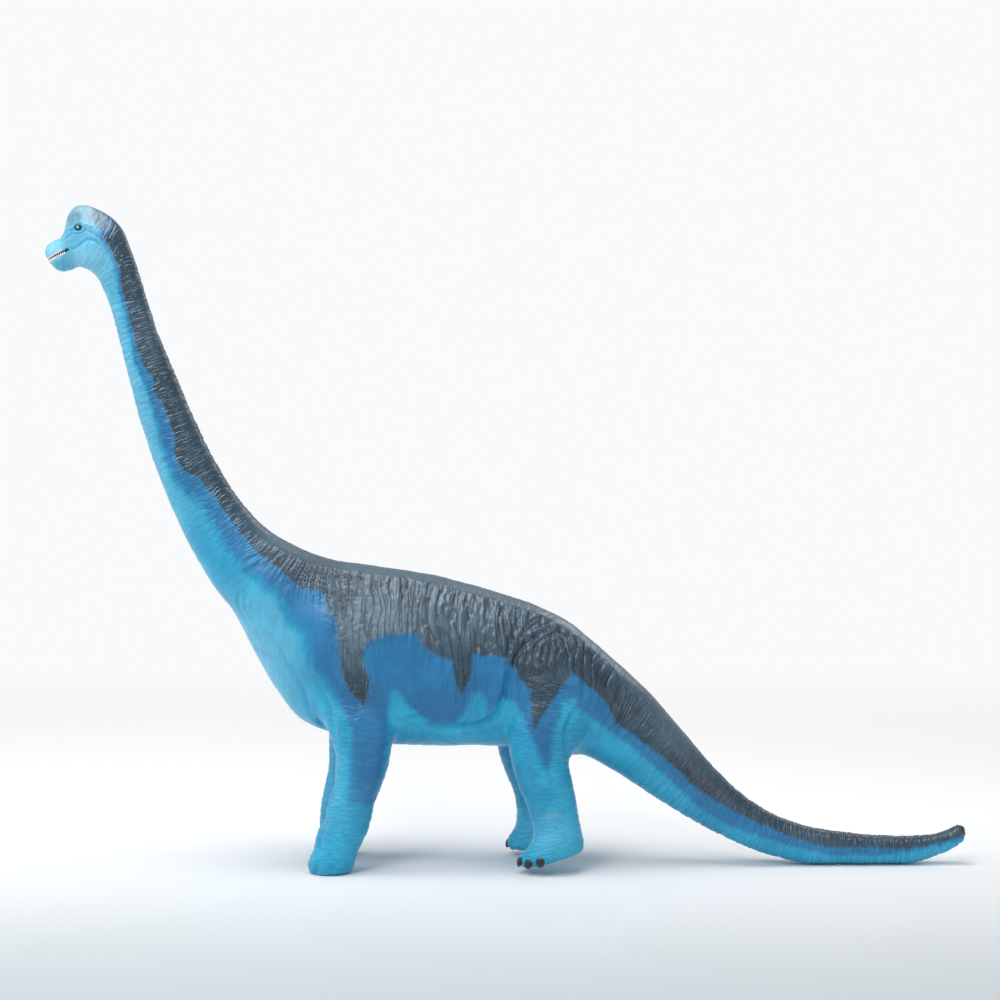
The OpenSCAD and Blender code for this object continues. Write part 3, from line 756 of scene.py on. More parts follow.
def face_features(v, n):
    """The height of the head's own features, in millimetres."""
    xz = faced(v)
    side = step(np.abs(n[:, 1]), 0.15, 0.6)
    h = -1.5 * step(inside(xz, RECESS), -1.2, 1.6) + 0.55 * bump_at(inside(xz, RECESS) + 1.9, 1.0)
    a = math.radians(-12)
    dx, dz = xz[:, 0] - LIDS[0], xz[:, 1] - LIDS[1]
    ex, ez = (dx * math.cos(a) - dz * math.sin(a)) / 4.0, (dx * math.sin(a) + dz * math.cos(a)) / 3.1
    rho = np.sqrt(ex * ex + ez * ez)
    h = h + 0.85 * bump_at(rho - 1.12, 0.22) * (0.75 + 0.35 * np.sign(ez)) - 1.6 * (1 - step(rho, 0.55, 1.0))
    h = h - 0.4 * bump_at(rho - 1.62, 0.16) * (ez < 0.2)
    return side * (h - sum(depth * bump_at(to_path(xz, path), width) for depth, width, path in FACE))


def tinted(v, facts, sunk):
    """The colour and strength of painted patches at each vertex: paint colours, painted highlights and painted shade.
    """
    x, z = faced(v).T
    rgb, strength = np.zeros((len(v), 3)), np.zeros(len(v))

    def add(colour, share):
        nonlocal rgb, strength
        share = np.clip(share, 0, 1)
        kept = strength * (1 - share)
        strength = share + kept
        mixed = rgb * kept[:, None] + np.array(srgb(*colour)) * share[:, None]
        rgb = np.where(strength[:, None] > 0, mixed / (strength[:, None] + EPS), rgb)

    def spot(colour, cx, cz, rx, rz, share):
        add(colour, share * patch(x, z, cx, cz, rx, rz))

    # snout, lids, cheek and throat; the pale snout and cheek patches are partly lighter paint and partly painted
    # highlight
    spot((156, 216, 238), -353, 481, 10, 8, 0.5)
    spot((120, 164, 208), -349, 491, 7, 3.0, 0.6)
    spot((45, 120, 190), -344, 494.5, 4, 3, 0.55)
    spot((32, 118, 186), -329, 494.5, 6, 3, 0.65)
    spot((100, 168, 206), -322, 497, 9, 4, 0.75)
    spot((50, 132, 190), -316, 491, 5, 6, 0.5)
    spot((140, 208, 232), -330, 477, 11, 8, 0.6)
    spot((40, 120, 180), -316, 478, 2.6, 9, 0.35)
    add((102, 124, 138), step(inside(faced(v), CREST), -2.5, 2) * 0.92)
    add((50, 84, 104), step(inside(faced(v), RECESS), -0.9, 0.9) * 0.9)
    spot((96, 190, 222), -330, 500.8, 7, 1.2, 0.6)
    # hind and front feet, lighter: partly lighter paint and partly painted light
    spot((104, 200, 230), 30, 22, 26, 14, 0.45)
    spot((150, 196, 214), 33, 38, 5, 3, 0.35)
    spot((70, 170, 210), -135, 40, 24, 26, 0.3)
    # jaw, neck and breast lighter, partly paint and partly painted light from the left; a painted highlight on the
    # shoulder; and painted shade inside the mouth
    pale = step(-facts["blue"], 0, 3) * step(-facts["slate"], 0, 2)
    spot((140, 208, 232), -318, 470, 12, 14, 0.4)
    add((136, 204, 228), 0.3 * pale * step(z, 230, 330))
    add((132, 200, 222), 0.4 * pale * patch(x, z, -190, 170, 34, 56))
    spot((120, 152, 186), -139, 201, 8, 8, 0.55)
    # painted shade: the inside of the mouth is darker the deeper it lies under the skin
    add((20, 74, 108), step(sunk, 0.9, 1.9))
    return np.concatenate([rgb, strength[:, None]], axis=1)


def located(v):
    at = spine.locate(v)
    return np.column_stack([at, np.interp(at[:, 0], spine.length, phase)])


def onto_plane(v, edge, origin, normal, most):
    """Moves the chosen vertices onto a plane seen edge-on from the side, by most at the most."""
    off = np.clip((v[edge][:, [0, 2]] - origin) @ normal, -most, most)
    v[edge, 0] -= off * normal[0]
    v[edge, 2] -= off * normal[1]


def snapped(v, quads, at, name, free=True):
    """Moves the vertices along a cut onto its plane, and returns which faces lie before it."""
    level = CUT[name]
    before = at[quads, 0].mean(axis=1) < level
    edge = shared(v, quads, before, ~before) & free
    centre, ahead = ([np.interp(level, spine.length, line[:, k]) for k in (0, 1)]
                     for line in (spine.centre, spine.forward))
    onto_plane(v, edge, centre, ahead, 2)
    at[edge, 0] = level
    return before


def finished(v, quads, label, smooth, h, facts, sunk, wall):
    """A skin's outer and inner face and its paint, from its smooth form and the height of its relief."""
    outer = v + smooth * h[:, None]
    outer[:, 2] = np.maximum(outer[:, 2], 0.0)
    facts["tint"] = tinted(v, facts, sunk)
    facts["crest"] = step(inside(faced(outer), CREST), -4, 3)
    return {"v": outer, "quads": quads, "label": label, "normal": normals_of(outer, quads), "facts": facts,
            "inner": v + smooth * (np.minimum(h, 0) - wall)[:, None]}


def make_body():
    grid = Grid((-368, -62, -8), (368, 62, 500), 1.3)
    v, quads = grid.surface(sculpt_body(grid))
    v = relax(v, edges_of(quads), 5)
    to_leg, leg_at, leg_name = np.full(len(v), 99.0), np.zeros((len(v), 5)), np.full(len(v), -1)
    for k, (name, leg) in enumerate(legs.items()):
        near = (np.sign(v[:, 1]) == LEGS[name][1]) & ((v[:, 0] < -45) == name.startswith("front"))
        near &= (v[:, 2] < 200) & (np.abs(v[:, 0] - leg.centre[:, 0].mean()) < 80)
        to_leg[near] = grid.sample(grid.distance(leg.tube(64)), v[near])
        leg_at[near] = leg.locate(v[near])
        leg_name[near] = k
    leg_share = step(grid.sample(grid.distance(spine.tube(96, SQUARE)), v) - to_leg, -5, 7)
    at = located(v)
    label = sum((~snapped(v, quads, at, name, leg_share < 0.5)).astype(int) for name in CUT)
    mid = v[quads].mean(axis=1)
    owner = leg_name[quads[:, 0]]
    on_leg = (leg_share[quads].mean(axis=1) > 0.35) & (owner >= 0) & (np.abs(mid[:, 1]) > 6)
    on_leg &= mid[:, 2] < np.where(mid[:, 0] < -45, FRONT_TOP, HIND_TOP)
    label = np.where(on_leg, FIRST_LEG + owner, label)
    slope = np.array([SEAM[1][1] - SEAM[0][1], SEAM[0][0] - SEAM[1][0]], float)
    slope /= np.linalg.norm(slope)
    under = (mid[:, [0, 2]] - SEAM[0]) @ slope > 0
    label = np.where((label == TRUNK) & under & (mid[:, 0] < -38), BREAST, label)
    edge = shared(v, quads, label == TRUNK, label == BREAST) & (v[:, 0] < -40)
    onto_plane(v, edge, SEAM[0], slope, 1.2)
    for k, name in enumerate(legs):
        height = FRONT_TOP if name.startswith("front") else HIND_TOP
        mine = label == FIRST_LEG + k
        v[shared(v, quads, mine, ~mine) & (np.abs(v[:, 2] - height) < 1.4), 2] = height
    smooth = normals_of(v, quads)
    h, facts = shaped(v, smooth, at, leg_at, leg_share)
    wall = np.minimum(2.4, 0.34 * np.minimum(at[:, 3], at[:, 4]))
    return finished(v, quads, label, smooth, h, facts, np.zeros(len(v)), wall)


def make_head(grid):
    whole, carved = sculpt_head(grid)
    v, quads = grid.surface(carved)
    v = relax(v, edges_of(quads), 3)
    at = located(v)
    label = np.where(snapped(v, quads, at, "head"), 0, -1)
    smooth = normals_of(v, quads)
    h, facts = shaped(v, smooth, at, np.zeros((len(v), 5)), np.zeros(len(v)))
    h = h + face_features(v, smooth) * (1 - step(at[:, 0], CUT["head"] - 14, CUT["head"] - 2))
    return whole, finished(v, quads, label, smooth, h, facts, -grid.sample(whole, v), 1.2)


def close_neck():
    """Draws the edge of the head's finer surface onto the edge of the body's."""
    body_rim, head_rim = (np.flatnonzero(shared(s["v"], s["quads"], s["label"] == 0, s["label"] == other))
                          for s, other in ((body, 1), (head, -1)))
    ring = body["v"][body_rim]
    body_rim = body_rim[np.argsort(np.arctan2(ring[:, 1], ring[:, 2] - ring[:, 2].mean()))]
    spots = head["v"][head_rim]
    best = np.full(len(spots), 99.0)
    for i, j in zip(body_rim, np.roll(body_rim, -1)):
        d, t = along(spots, body["v"][i], body["v"][j])
        near = d < best
        best[near] = d[near]
        for key in ("v", "normal", "inner"):
            a, b = body[key][i], body[key][j]
            head[key][head_rim[near]] = a + t[near, None] * (b - a)
    print("the head's edge moved by", round(float(best.max()), 2), "mm at most")


body = make_body()
fine = Grid((-363, -23, 444), (-284, 23, 518), 0.55)
whole, head = make_head(fine)
close_neck()

# ---------------------------------------------------------------------------
# Materials


class Value:
    """What a shader node gives, which takes the usual operators."""

    def __init__(self, paint, socket):
        self.paint, self.socket = paint, socket

    def __add__(self, other):
        return self.paint.math("ADD", self, other)

    def __sub__(self, other):
        return self.paint.math("SUBTRACT", self, other)

    def __rsub__(self, other):
        return self.paint.math("SUBTRACT", other, self)

    def __mul__(self, other):
        return self.paint.math("MULTIPLY", self, other)

    def __truediv__(self, other):
        return self.paint.math("DIVIDE", self, other)


class Paint:
    """A material under construction."""

    def __init__(self, name):
        self.material = bpy.data.materials.new(name)
        self.material.use_nodes = True
        self.tree = self.material.node_tree
        self.tree.nodes.clear()
        self.out = self.tree.nodes.new("ShaderNodeOutputMaterial")
        self.surface = self.tree.nodes.new("ShaderNodeBsdfPrincipled")
        self.tree.links.new(self.surface.outputs[0], self.out.inputs[0])

    def feed(self, socket, value):
        if isinstance(value, Value):
            value = value.socket
        if isinstance(value, bpy.types.NodeSocket):
            self.tree.links.new(value, socket)
        else:
            socket.default_value = (*value, 1) if socket.type == "RGBA" else value

    def node(self, kind, output, inputs, **settings):
        """One output of a new node with the given settings and inputs."""
        made = self.tree.nodes.new("ShaderNode" + kind)
        for key, value in settings.items():
            setattr(made, key, value)
        for key, value in inputs.items():
            self.feed(made.inputs[key], value)
        return Value(self, made.outputs[output])

    def split(self, vector):
        made = self.tree.nodes.new("ShaderNodeSeparateXYZ")
        self.feed(made.inputs[0], vector)
        return [Value(self, part) for part in made.outputs]

    def where(self):
        return self.node("TexCoord", "Object", {})

    def math(self, kind, a, b=0.0, clamp=False):
        return self.node("Math", 0, {0: a, 1: b}, operation=kind, use_clamp=clamp)

    def given(self, name, part="Fac"):
        return self.node("Attribute", part, {}, attribute_name=name)

    def ramp(self, x, low, high, first=0.0, last=1.0):
        ends = {"Value": x, "From Min": low, "From Max": high, "To Min": first, "To Max": last}
        return self.node("MapRange", "Result", ends, interpolation_type="SMOOTHSTEP")

    def mix(self, share, a, b):
        return self.node("Mix", 2, {0: share, 6: a, 7: b}, data_type="RGBA", clamp_factor=True)

    def noise(self, where, scale, detail=3.0, rough=0.55):
        inputs = {"Vector": where, "Scale": scale, "Detail": detail, "Roughness": rough}
        return self.node("TexNoise", "Fac", inputs)

    def cells(self, where, scale):
        return self.node("TexVoronoi", "Distance", {"Vector": where, "Scale": scale}, feature="DISTANCE_TO_EDGE")

    def bump(self, height, distance, strength=1.0, **normal):
        return self.node("Bump", 0, {"Height": height, "Distance": distance, "Strength": strength, **normal})

    def set(self, **values):
        for key, value in values.items():
            self.feed(self.surface.inputs[key.replace("_", " ")], value)


def skin_paint():
    p = Paint("painted_skin")
    rest, flow, legflow = (p.given(name, "Vector") for name in ("rest", "flow", "legflow"))
    leg, deep, streak, soft, shoulder = map(p.given, ("leg", "deep", "streak", "soft", "shoulder"))
    wide, medium, speck = p.noise(rest, 0.035, 3), p.noise(rest, 0.16, 3), p.noise(rest, 1.1, 4, 0.6)

    # fine wrinkles that follow the body, or the leg
    def lines(scale):
        return p.cells(flow, scale) * (1.0 - leg) + p.cells(legflow, scale) * leg

    broad = p.ramp(lines(1.0), 0.0, 0.14)
    thin = p.ramp(lines(2.2), 0.0, 0.2)
    cracks = p.ramp(p.cells(rest, 0.42), 0.0, 0.1)
    height = broad * 0.7 + thin * 0.22 + cracks * (shoulder * 0.25)

    # paint edges, a little ragged, crisp or airbrushed
    edge = (medium - 0.5) * 6.0 + (speck - 0.5) * 2.2
    slate = p.ramp((p.given("slate") + edge) / soft, -1.0, 1.0)
    blue = p.ramp((p.given("blue") + edge) / (soft * 1.15), -1.0, 1.0)
    slate = slate * (1.0 - p.given("crest") * 0.9)

    cyan_paint = p.mix(p.ramp(wide, 0.35, 0.65), srgb(6, 148, 190), srgb(26, 166, 204))
    blue_paint = p.mix(p.ramp(wide, 0.35, 0.65), srgb(10, 104, 154), srgb(18, 120, 172))
    slate_paint = p.mix(p.ramp(wide, 0.3, 0.7), srgb(32, 54, 70), srgb(46, 74, 92))
    colour = p.mix(blue, cyan_paint, blue_paint)
    colour = p.mix(p.given("tint", "Alpha"), colour, p.given("tint", "Color"))
    colour = p.mix(slate, colour, slate_paint)

    # lighter streaks in short hairs across the body, partly worn paint and partly painted highlight on the ridges
    x, y, z = p.split(flow)
    place = x * 1.9 + p.noise(rest, 0.12, 2) * 1.6
    row = p.node("CombineXYZ", 0, {0: p.math("FLOOR", place) * 4.37, 1: y * 2.7, 2: z * 3.0})
    middle = p.math("ABSOLUTE", p.math("FRACT", place) - 0.5)
    hair = p.ramp(middle, 0.05, 0.13, 1.0, 0.0) * p.ramp(p.noise(row, 1.0, 1), 0.47, 0.6)
    colour = p.mix(hair * streak * 0.75, colour, srgb(152, 184, 200))
    # painted highlight: the slate is lighter along the top of the back and on the shoulder
    colour = p.mix(p.given("dorsal") * (slate * 0.22), colour, srgb(116, 140, 156))

    # painted shade darkening the creases, and a little dust
    painted_crease_shade = (1.0 - broad) * (deep * 0.5)
    colour = p.mix(painted_crease_shade, colour, p.mix(slate, srgb(14, 92, 146), srgb(20, 30, 40)))
    dust = p.ramp(p.noise(rest, 0.5, 4, 0.65), 0.5, 0.75) * 0.05
    colour = p.mix(dust, colour, srgb(150, 196, 216))

    rough = slate * -0.2 + 0.46 + (speck - 0.5) * 0.24
    folds = p.bump(height * (deep * 0.85 + 0.15), 0.0007)
    grain = p.bump(p.noise(rest, 2.2, 3, 0.6), 0.00012, 0.6, Normal=folds)
    p.set(Base_Color=colour, Roughness=p.math("SUBTRACT", rough, shoulder * 0.07, clamp=True), Normal=grain,
          IOR=1.45, Coat_Weight=0.25, Coat_Roughness=0.3)
    return p.material


def plain(name, low, high, scale, rough, bump=0.0002, **finish):
    """A material whose colour, roughness and relief change a little over the surface."""
    p = Paint(name)
    blotch = p.noise(p.where(), scale, 4, 0.6)
    fine_noise = p.noise(p.where(), scale * 5, 3, 0.6)
    p.set(Base_Color=p.mix(p.ramp(blotch, 0.35, 0.65), srgb(*low), srgb(*high)),
          Roughness=p.math("ADD", (fine_noise - 0.5) * 0.2, rough, clamp=True),
          Normal=p.bump(fine_noise, bump, 0.7), **finish)
    return p


def fibre_paint():
    p = plain("stuffing_fibre", (214, 214, 208), (244, 243, 238), 90, 0.9, 0.0008, Sheen_Weight=0.4)
    wave = {"Vector": p.where(), "Scale": 180.0, "Distortion": 22.0, "Detail": 3.0, "Detail Scale": 1.4}
    p.set(Normal=p.bump(p.node("TexWave", "Fac", wave, wave_type="BANDS"), 0.0007, 0.8))
    return p.material


def eye_paint():
    p = Paint("painted_eye")
    where = p.where()
    x, _, z = p.split(where)
    x, z = x * 1000.0, z * 1000.0
    r = p.math("SQRT", p.math("POWER", x / 1.45, 2.0) + p.math("POWER", z / 1.15, 2.0))
    iris = p.ramp(r + (p.noise(where, 900.0) - 0.5) * 0.3, 0.75, 1.0, 1.0, 0.0)
    slit = p.ramp(p.math("ABSOLUTE", x + 0.1), 0.1, 0.3, 0.6, 0.0)
    bright = p.mix(p.noise(where, 1500.0), srgb(20, 130, 170), srgb(90, 214, 236))
    colour = p.mix(slit, p.mix(iris, srgb(9, 11, 14), bright), srgb(8, 16, 22))
    p.set(Base_Color=colour, Roughness=p.ramp(p.noise(where, 1400.0), 0.3, 0.7, 0.08, 0.2),
          Normal=p.bump(p.noise(where, 1200.0), 0.00003, 0.4), Coat_Weight=0.6, Coat_Roughness=0.05)
    return p.material


SKIN = skin_paint()
INSIDE = plain("unpainted_rubber", (92, 150, 172), (112, 170, 190), 120, 0.6).material
FIBRE = fibre_paint()
EYES = eye_paint()
TEETH = plain("ivory_paint", (222, 224, 214), (244, 244, 236), 500, 0.32, 0.0001, Coat_Weight=0.2).material
CLAWS = plain("claw_paint", (13, 17, 22), (28, 35, 43), 400, 0.34, 0.00015, Coat_Weight=0.3).material

# ---------------------------------------------------------------------------
# Pieces


def in_scene(name, m, material):
    m.polygons.foreach_set("use_smooth", np.full(len(m.polygons), True))
    m.materials.append(material)
    piece = bpy.data.objects.new(name, m)
    bpy.context.scene.collection.objects.link(piece)
    return piece


def mesh_of(name, v, faces, material):
    m = bpy.data.meshes.new(name)
    m.vertices.add(len(v))
    m.vertices.foreach_set("co", (np.asarray(v) * MM).astype(np.float32).ravel())
    n, k = faces.shape
    m.loops.add(n * k)
    m.loops.foreach_set("vertex_index", faces.astype(np.int32).ravel())
    m.polygons.add(n)
    m.polygons.foreach_set("loop_start", np.arange(0, n * k, k, dtype=np.int32))
    m.update(calc_edges=True)
    return in_scene(name, m, material)


def skin_piece(name, source, which):
    """The faces with one label, with the inner face of the wall and a rim where it ends."""
    quads = source["quads"][source["label"] == which]
    used, flat = np.unique(quads.ravel(), return_inverse=True)
    quads = flat.reshape(-1, 4)
    n = len(used)
    ends = sides_of(quads)
    key = np.sort(ends, axis=1)
    _, back, times = np.unique(key[:, 0] * n + key[:, 1], return_inverse=True, return_counts=True)
    rim = ends[times[back] == 1]
    rim_faces = np.column_stack([rim[:, 1], rim[:, 0], rim[:, 0] + n, rim[:, 1] + n])
    faces = np.vstack([quads, quads[:, ::-1] + n, rim_faces])
    piece = mesh_of(name, np.vstack([source["v"][used], source["inner"][used]]), faces, SKIN)
    m = piece.data
    m.materials.append(INSIDE)
    m.polygons.foreach_set("material_index", (np.arange(len(faces)) >= len(quads)).astype(np.int32))
    for key, value in source["facts"].items():
        both = np.concatenate([value[used], value[used]]).astype(np.float32)
        kind, part = {1: ("FLOAT", "value"), 3: ("FLOAT_VECTOR", "vector"),
                      4: ("FLOAT_COLOR", "color")}[both[0].size]
        m.attributes.new(key, kind, "POINT").data.foreach_set(part, both.ravel())
    normal = source["normal"][used]
    m.normals_split_custom_set_from_vertices(np.vstack([normal, -normal]).tolist())
    return piece


def soft(piece, finish, *nodes):
    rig.replaces(piece, *nodes)
    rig.slot(piece, finish)
    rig.padded(piece, fill=0.9)


def hard(piece, owner, node, finish):
    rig.ride(piece, owner)
    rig.replaces(piece, node)
    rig.slot(piece, finish)


def bend(piece, first, last, start, end):
    """Shares a skin between two bodies, from start to end, which are [x, z] on the toy's middle plane."""
    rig.blend(piece, first, last, *((x * MM, 0.0, z * MM) for x, z in (start, end)))


for name, source, which, owner, finish, node in (
    ("skin_head", head, 0, "head", "slate_skin", "head_skin"),
    ("skin_torso", body, TRUNK, "trunk", "slate_skin", "torso_skin"),
    ("skin_breast", body, BREAST, "trunk", "cyan_skin", "breast_skin"),
):
    piece = skin_piece(name, source, which)
    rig.ride(piece, owner)
    soft(piece, finish, node)

for name, which, first, last, start, end, finish, nodes in (
    ("skin_neck_upper", 1, "neck_upper", "head", (-293.7, 433.2), (-300, 453), "cyan_skin",
     ["neck_upper_skin", "nape_sleeve"]),
    ("skin_neck_middle", 2, "neck_lower", "neck_upper", (-266, 348), (-276.7, 379), "cyan_skin",
     ["neck_lower_skin", "neck_mid_sleeve"]),
    ("skin_neck_base", 3, "trunk", "neck_lower", (-211.5, 243.8), (-236.3, 280.5), "cyan_skin",
     ["neck_base_sleeve"]),
    ("skin_tail_root", 5, "trunk", "tail_upper", (78, 117), (102, 98), "slate_skin",
     ["tail_root_sleeve", "tail_upper_skin"]),
    ("skin_tail_middle", 6, "tail_upper", "tail_mid", (151.5, 55.3), (177, 37.5), "slate_skin",
     ["tail_mid_sleeve", "tail_mid_skin"]),
    ("skin_tail_tip", 7, "tail_mid", "tail_tip", (236, 14.5), (263.5, 12.5), "slate_skin",
     ["tail_tip_sleeve", "tail_tip_skin"]),
):
    piece = skin_piece(name, body, which)
    bend(piece, first, last, start, end)
    soft(piece, finish, *nodes)

for k, name in enumerate(legs):
    hind = name.startswith("hind")
    piece = skin_piece("skin_" + name + "_leg", body, FIRST_LEG + k)
    bend(piece, "trunk", name + "_leg", (0, 88 if hind else 93), (0, 65 if hind else 67))
    soft(piece, "blue_skin" if hind else "cyan_skin", name + "_sleeve", name + "_leg_skin")


def make_wad(wad):
    """A wad of fibre: the CAD's stuffing, rounded, drawn in a little and roughened."""
    node = frame["nodes"][wad + "_stuffing"]
    node.data.calc_loop_triangles()
    co = np.array([node.matrix_world @ p.co for p in node.data.vertices]) / MM
    tris = np.array([t.vertices[:] for t in node.data.loop_triangles])
    grid = Grid(co.min(axis=0) - 4, co.max(axis=0) + 4, 2.2 if wad == "torso" else 1.6, 6)
    d = grid.distance((co, np.zeros((0, 4), int), tris))
    v, quads = grid.surface(d + (1.4 if wad in ("torso", "head") else 0.9))
    v = relax(v, edges_of(quads), 2)
    v = v + normals_of(v, quads) * (0.55 * noise(v / 7, 61) + 0.35 * noise(v / 3, 62))[:, None]
    return mesh_of("fibre_" + wad, v, quads, FIBRE)


for wad in ("torso", "neck_lower", "neck_upper", "head", "tail_upper", "tail_mid", "tail_tip",
            *(name + "_leg" for name in legs)):
    piece = make_wad(wad)
    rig.ride(piece, "trunk" if wad == "torso" else wad)
    soft(piece, "fibre", wad + "_stuffing")

# ---------------------------------------------------------------------------
# Eyes, teeth and claws


def ball(rings, sides, shape):
    """A closed surface from a function of the angle down from the pole and the angle round it."""
    v = [shape(0, 0)]
    v += [shape(math.pi * i / rings, 2 * math.pi * j / sides) for i in range(1, rings) for j in range(sides)]
    v.append(shape(math.pi, 0))
    faces = []
    last = 1 + (rings - 2) * sides
    for j in range(sides):
        k = (j + 1) % sides
        faces.append([0, 1 + j, 1 + k])
        for a in range(1, last, sides):
            faces.append([a + j, a + sides + j, a + sides + k, a + k])
        faces.append([last + j, len(v) - 1, last + k])
    return np.array(v, float), faces


def piece_from(name, parts, material, origin=(0, 0, 0)):
    m = bpy.data.meshes.new(name)
    points, faces = [], []
    for v, f in parts:
        faces += [[i + len(points) for i in face] for face in f]
        points += (v * MM).tolist()
    m.from_pydata(points, [], faces)
    m.update()
    piece = in_scene(name, m, material)
    piece.location = [c * MM for c in origin]
    return piece


def eyeball(side):
    """Half sizes 3.6, 2.3 and 2.7 mm, tilted with the lids."""
    tilt = math.radians(12)
    c, s = math.cos(tilt), math.sin(tilt)

    def shape(a, b):
        x, z, y = 3.6 * math.sin(a) * math.cos(b), 2.7 * math.sin(a) * math.sin(b), 2.3 * math.cos(a)
        return (x * c + z * s, side * y, -x * s + z * c)

    v, f = ball(20, 40, shape)
    return v, [face[::-side] for face in f]


for side, name in ((-1, "left_eye"), (1, "right_eye")):
    hv = head["v"]
    close = (np.hypot(hv[:, 0] - EYEBALL[0], hv[:, 2] - EYEBALL[1]) < 1.2) & (hv[:, 1] * side > 0)
    depth = float(np.abs(hv[close, 1]).mean()) - 0.85
    piece = piece_from("visual_" + name, [eyeball(side)], EYES, (EYEBALL[0], side * depth, EYEBALL[1]))
    hard(piece, "head", name, "eye")


def mouth_point(u, y, w):
    """The point u behind the front of the mouth and w over its middle line."""
    return np.array([MOUTH[0][0] + u * MOUTH_X - w * MOUTH_Z, y, MOUTH[0][1] + u * MOUTH_Z + w * MOUTH_X])


def lips(depth, w):
    """A walk round the snout at the height w, just under its surface."""
    path = []
    for a in np.linspace(-math.pi * 0.5, math.pi * 0.5, 121):
        spots = np.array([mouth_point(21.5 - r * math.cos(a), r * math.sin(a), w)
                          for r in np.linspace(2, 34, 340)])
        path.append(spots[int(np.argmax(fine.sample(whole, spots) > -depth))])
    return np.array(path)


def tooth(at, out, down, size, tall):
    across = np.cross(out, down)
    across /= np.linalg.norm(across) + EPS

    def shape(a, b):
        t = (1 - math.cos(a)) / 2
        r = math.sin(a) ** 0.6 * (1 - 0.55 * t ** 1.5)
        return at + across * size * r * math.cos(b) + out * size * 0.75 * r * math.sin(b) + down * tall * t

    return ball(7, 10, shape)


def teeth_row(way, lift, first, over):
    """One row of teeth, even along the lips. It hangs for way -1 and stands for way 1."""
    count = 29
    path = lips(0.45, lift * 0.5)
    run = run_along(path)
    rise = np.array([-MOUTH_Z, 0, MOUTH_X])

    def walk(s):
        return np.array([np.interp(s, run, path[:, c]) for c in range(3)])

    for k in range(count):
        s = run[-1] * (k + first) / (count + over)
        ahead = walk(s + 0.4) - walk(s - 0.4)
        ahead /= np.linalg.norm(ahead) + EPS
        out = np.cross(ahead, rise * way)
        if out @ (walk(s) - mouth_point(16, 0, 0)) < 0:
            out = -out
        start = walk(s) + rise * lift * 0.62 + out * 0.1
        yield tooth(start, out, rise * way, 0.76, 2.55 - 0.5 * abs(2 * k / count - 1))


for name, row in (("upper_teeth", (-1, 2.2, 0.5, 0)), ("lower_teeth", (1, -2.1, 0.95, 0.9))):
    hard(piece_from("visual_" + name, teeth_row(*row), TEETH), "head", name, "teeth")


def claw(spot):
    """A claw that grows out of the skin nearest to a point."""
    i = int(np.argmin(np.linalg.norm(body["v"] - spot, axis=1)))
    base, out = body["v"][i], body["normal"][i].copy()
    out[2] = 0
    out /= np.linalg.norm(out)
    across = np.array([-out[1], out[0], 0])

    def shape(a, b):
        t = (1 - math.cos(a)) / 2
        r = math.sin(a) ** 0.75
        wide = 3.7 * r * (1 - 0.12 * t)
        proud = 2.0 * r * math.sin(b) + 0.9 * t * t + 0.35
        return base + out * proud + across * wide * math.cos(b) + np.array([0, 0, 3.8 - 7.2 * t])

    return ball(14, 22, shape)


for name, spots in (
    ("hind_left", [[8.6, -38, 8.2], [14.6, -46.8, 8.9], [23.6, -51.2, 10.6]]),
    ("hind_right", [[-0.6, 38, 8.8], [5.4, 46.8, 9.0], [14.3, 51.2, 9.6]]),
):
    piece = piece_from("visual_" + name + "_claws", map(claw, spots), CLAWS)
    hard(piece, name + "_leg", name + "_claws", "claws")

# ---------------------------------------------------------------------------
# Floor, light and camera


def backdrop_paint():
    """A pale floor that glows into the white of the background where it is far away, with painted shade that darkens
    it in front of the toy.
    """
    p = Paint("studio_floor")
    y = p.split(p.where())[1]
    # painted shade: the floor darkens from behind the toy towards the camera, and lightens again from 0.9 to 1.6 m in
    # front
    flat = p.mix(p.ramp(y, -0.5, 0.25), srgb(186, 193, 197), srgb(250, 251, 252))
    flat = p.mix(p.ramp(y * -1.0, 0.9, 1.6), flat, srgb(240, 243, 246))
    rough = p.ramp(p.noise(p.where(), 40.0), 0.3, 0.7, 0.55, 0.62)
    p.set(Base_Color=flat, Roughness=rough, Specular_IOR_Level=0.2)
    glow = p.node("Emission", 0, {"Color": srgb(249, 250, 252)})
    radius = p.node("VectorMath", "Value", {0: p.where()}, operation="LENGTH")
    reach = p.math("MAXIMUM", p.ramp(y, 0.15, 1.3), p.ramp(radius, 0.8, 2.0))
    p.feed(p.out.inputs[0], p.node("MixShader", 0, {0: reach, 1: p.surface.outputs[0], 2: glow}))
    return p.material


def make_floor():
    sides, rings = 64, [0.4, 0.8, 1.6, 3.2, 8.0, 40.0]
    angles = [2 * math.pi * k / sides for k in range(sides)]
    points = [(0, 0, -0.0004)] + [(r * math.cos(a), r * math.sin(a), -0.0004) for r in rings for a in angles]
    faces = [(0, 1 + k, 1 + (k + 1) % sides) for k in range(sides)]
    for j in range(len(rings) - 1):
        for k in range(sides):
            a, b, n = 1 + j * sides, 1 + (j + 1) * sides, (k + 1) % sides
            faces.append((a + k, b + k, b + n, a + n))
    m = bpy.data.meshes.new("floor")
    m.from_pydata(points, [], faces)
    m.materials.append(backdrop_paint())
    floor = bpy.data.objects.new("floor", m)
    bpy.context.scene.collection.objects.link(floor)
    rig.stage(floor)


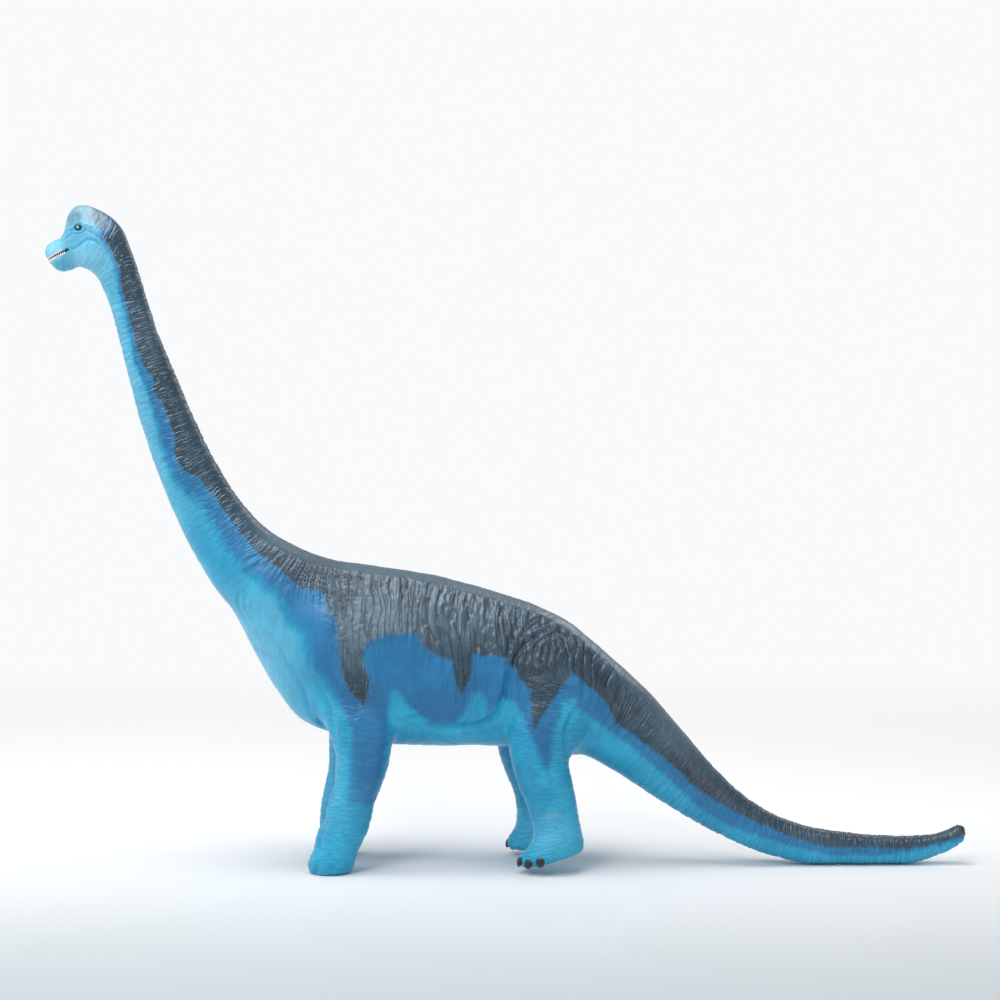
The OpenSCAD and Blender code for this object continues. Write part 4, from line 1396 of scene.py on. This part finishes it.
def make_world():
    """White to the camera, and a softer light on the toy."""
    world = bpy.data.worlds.new("studio")
    bpy.context.scene.world = world
    world.use_nodes = True
    tree = world.node_tree
    tree.nodes.clear()
    out, seen, given, path, blend = (tree.nodes.new("ShaderNode" + kind) for kind in (
        "OutputWorld", "Background", "Background", "LightPath", "MixShader"))
    seen.inputs["Color"].default_value = (*srgb(249, 250, 252), 1)
    given.inputs["Color"].default_value = (0.96, 0.98, 1.0, 1)
    given.inputs["Strength"].default_value = 0.4
    tree.links.new(path.outputs["Is Camera Ray"], blend.inputs[0])
    tree.links.new(given.outputs[0], blend.inputs[1])
    tree.links.new(seen.outputs[0], blend.inputs[2])
    tree.links.new(blend.outputs[0], out.inputs[0])


def turned(place, aim):
    return (Vector(aim) - Vector(place)).to_track_quat("-Z", "Y").to_euler()


def make_lamp(name, place, aim, size, power):
    light = bpy.data.lights.new(name, "AREA")
    light.shape = "RECTANGLE"
    light.size, light.size_y = size, size
    light.energy = power
    made = bpy.data.objects.new(name, light)
    made.location = place
    made.rotation_euler = turned(place, aim)
    made.visible_camera = False
    bpy.context.scene.collection.objects.link(made)


make_floor()
make_world()
make_lamp("top_softbox", (-0.2, -0.2, 1.6), (0, 0, 0.2), 1.0, 17)
make_lamp("front_softbox", (-0.75, -1.6, 1.5), (-0.05, 0, 0.2), 0.75, 15)
make_lamp("left_softbox", (-1.9, 0.0, 0.75), (-0.1, 0, 0.25), 1.0, 10)
make_lamp("fill_softbox", (1.5, -1.5, 0.7), (0.05, 0, 0.2), 1.1, 5)
make_lamp("back_softbox", (0.9, 1.5, 1.2), (0, 0, 0.25), 0.8, 3)

camera = bpy.data.cameras.new("camera")
camera.sensor_width = 36
camera.lens = 92.4
camera.clip_start, camera.clip_end = 0.1, 100
eye = bpy.data.objects.new("camera", camera)
eye.location = (-0.0070, -2.0, 0.40)
eye.rotation_euler = turned(eye.location, (-0.0070, 0, 0.2863))
bpy.context.scene.collection.objects.link(eye)
bpy.context.scene.camera = eye
view = bpy.context.scene.view_settings
view.view_transform = "Standard"
view.look = "None"
view.exposure = 0
view.gamma = 1

made_box = [list(p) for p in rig.bounds()]
with open("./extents.json", "w") as out:
    json.dump({"cad": cad_box, "visual": made_box}, out)
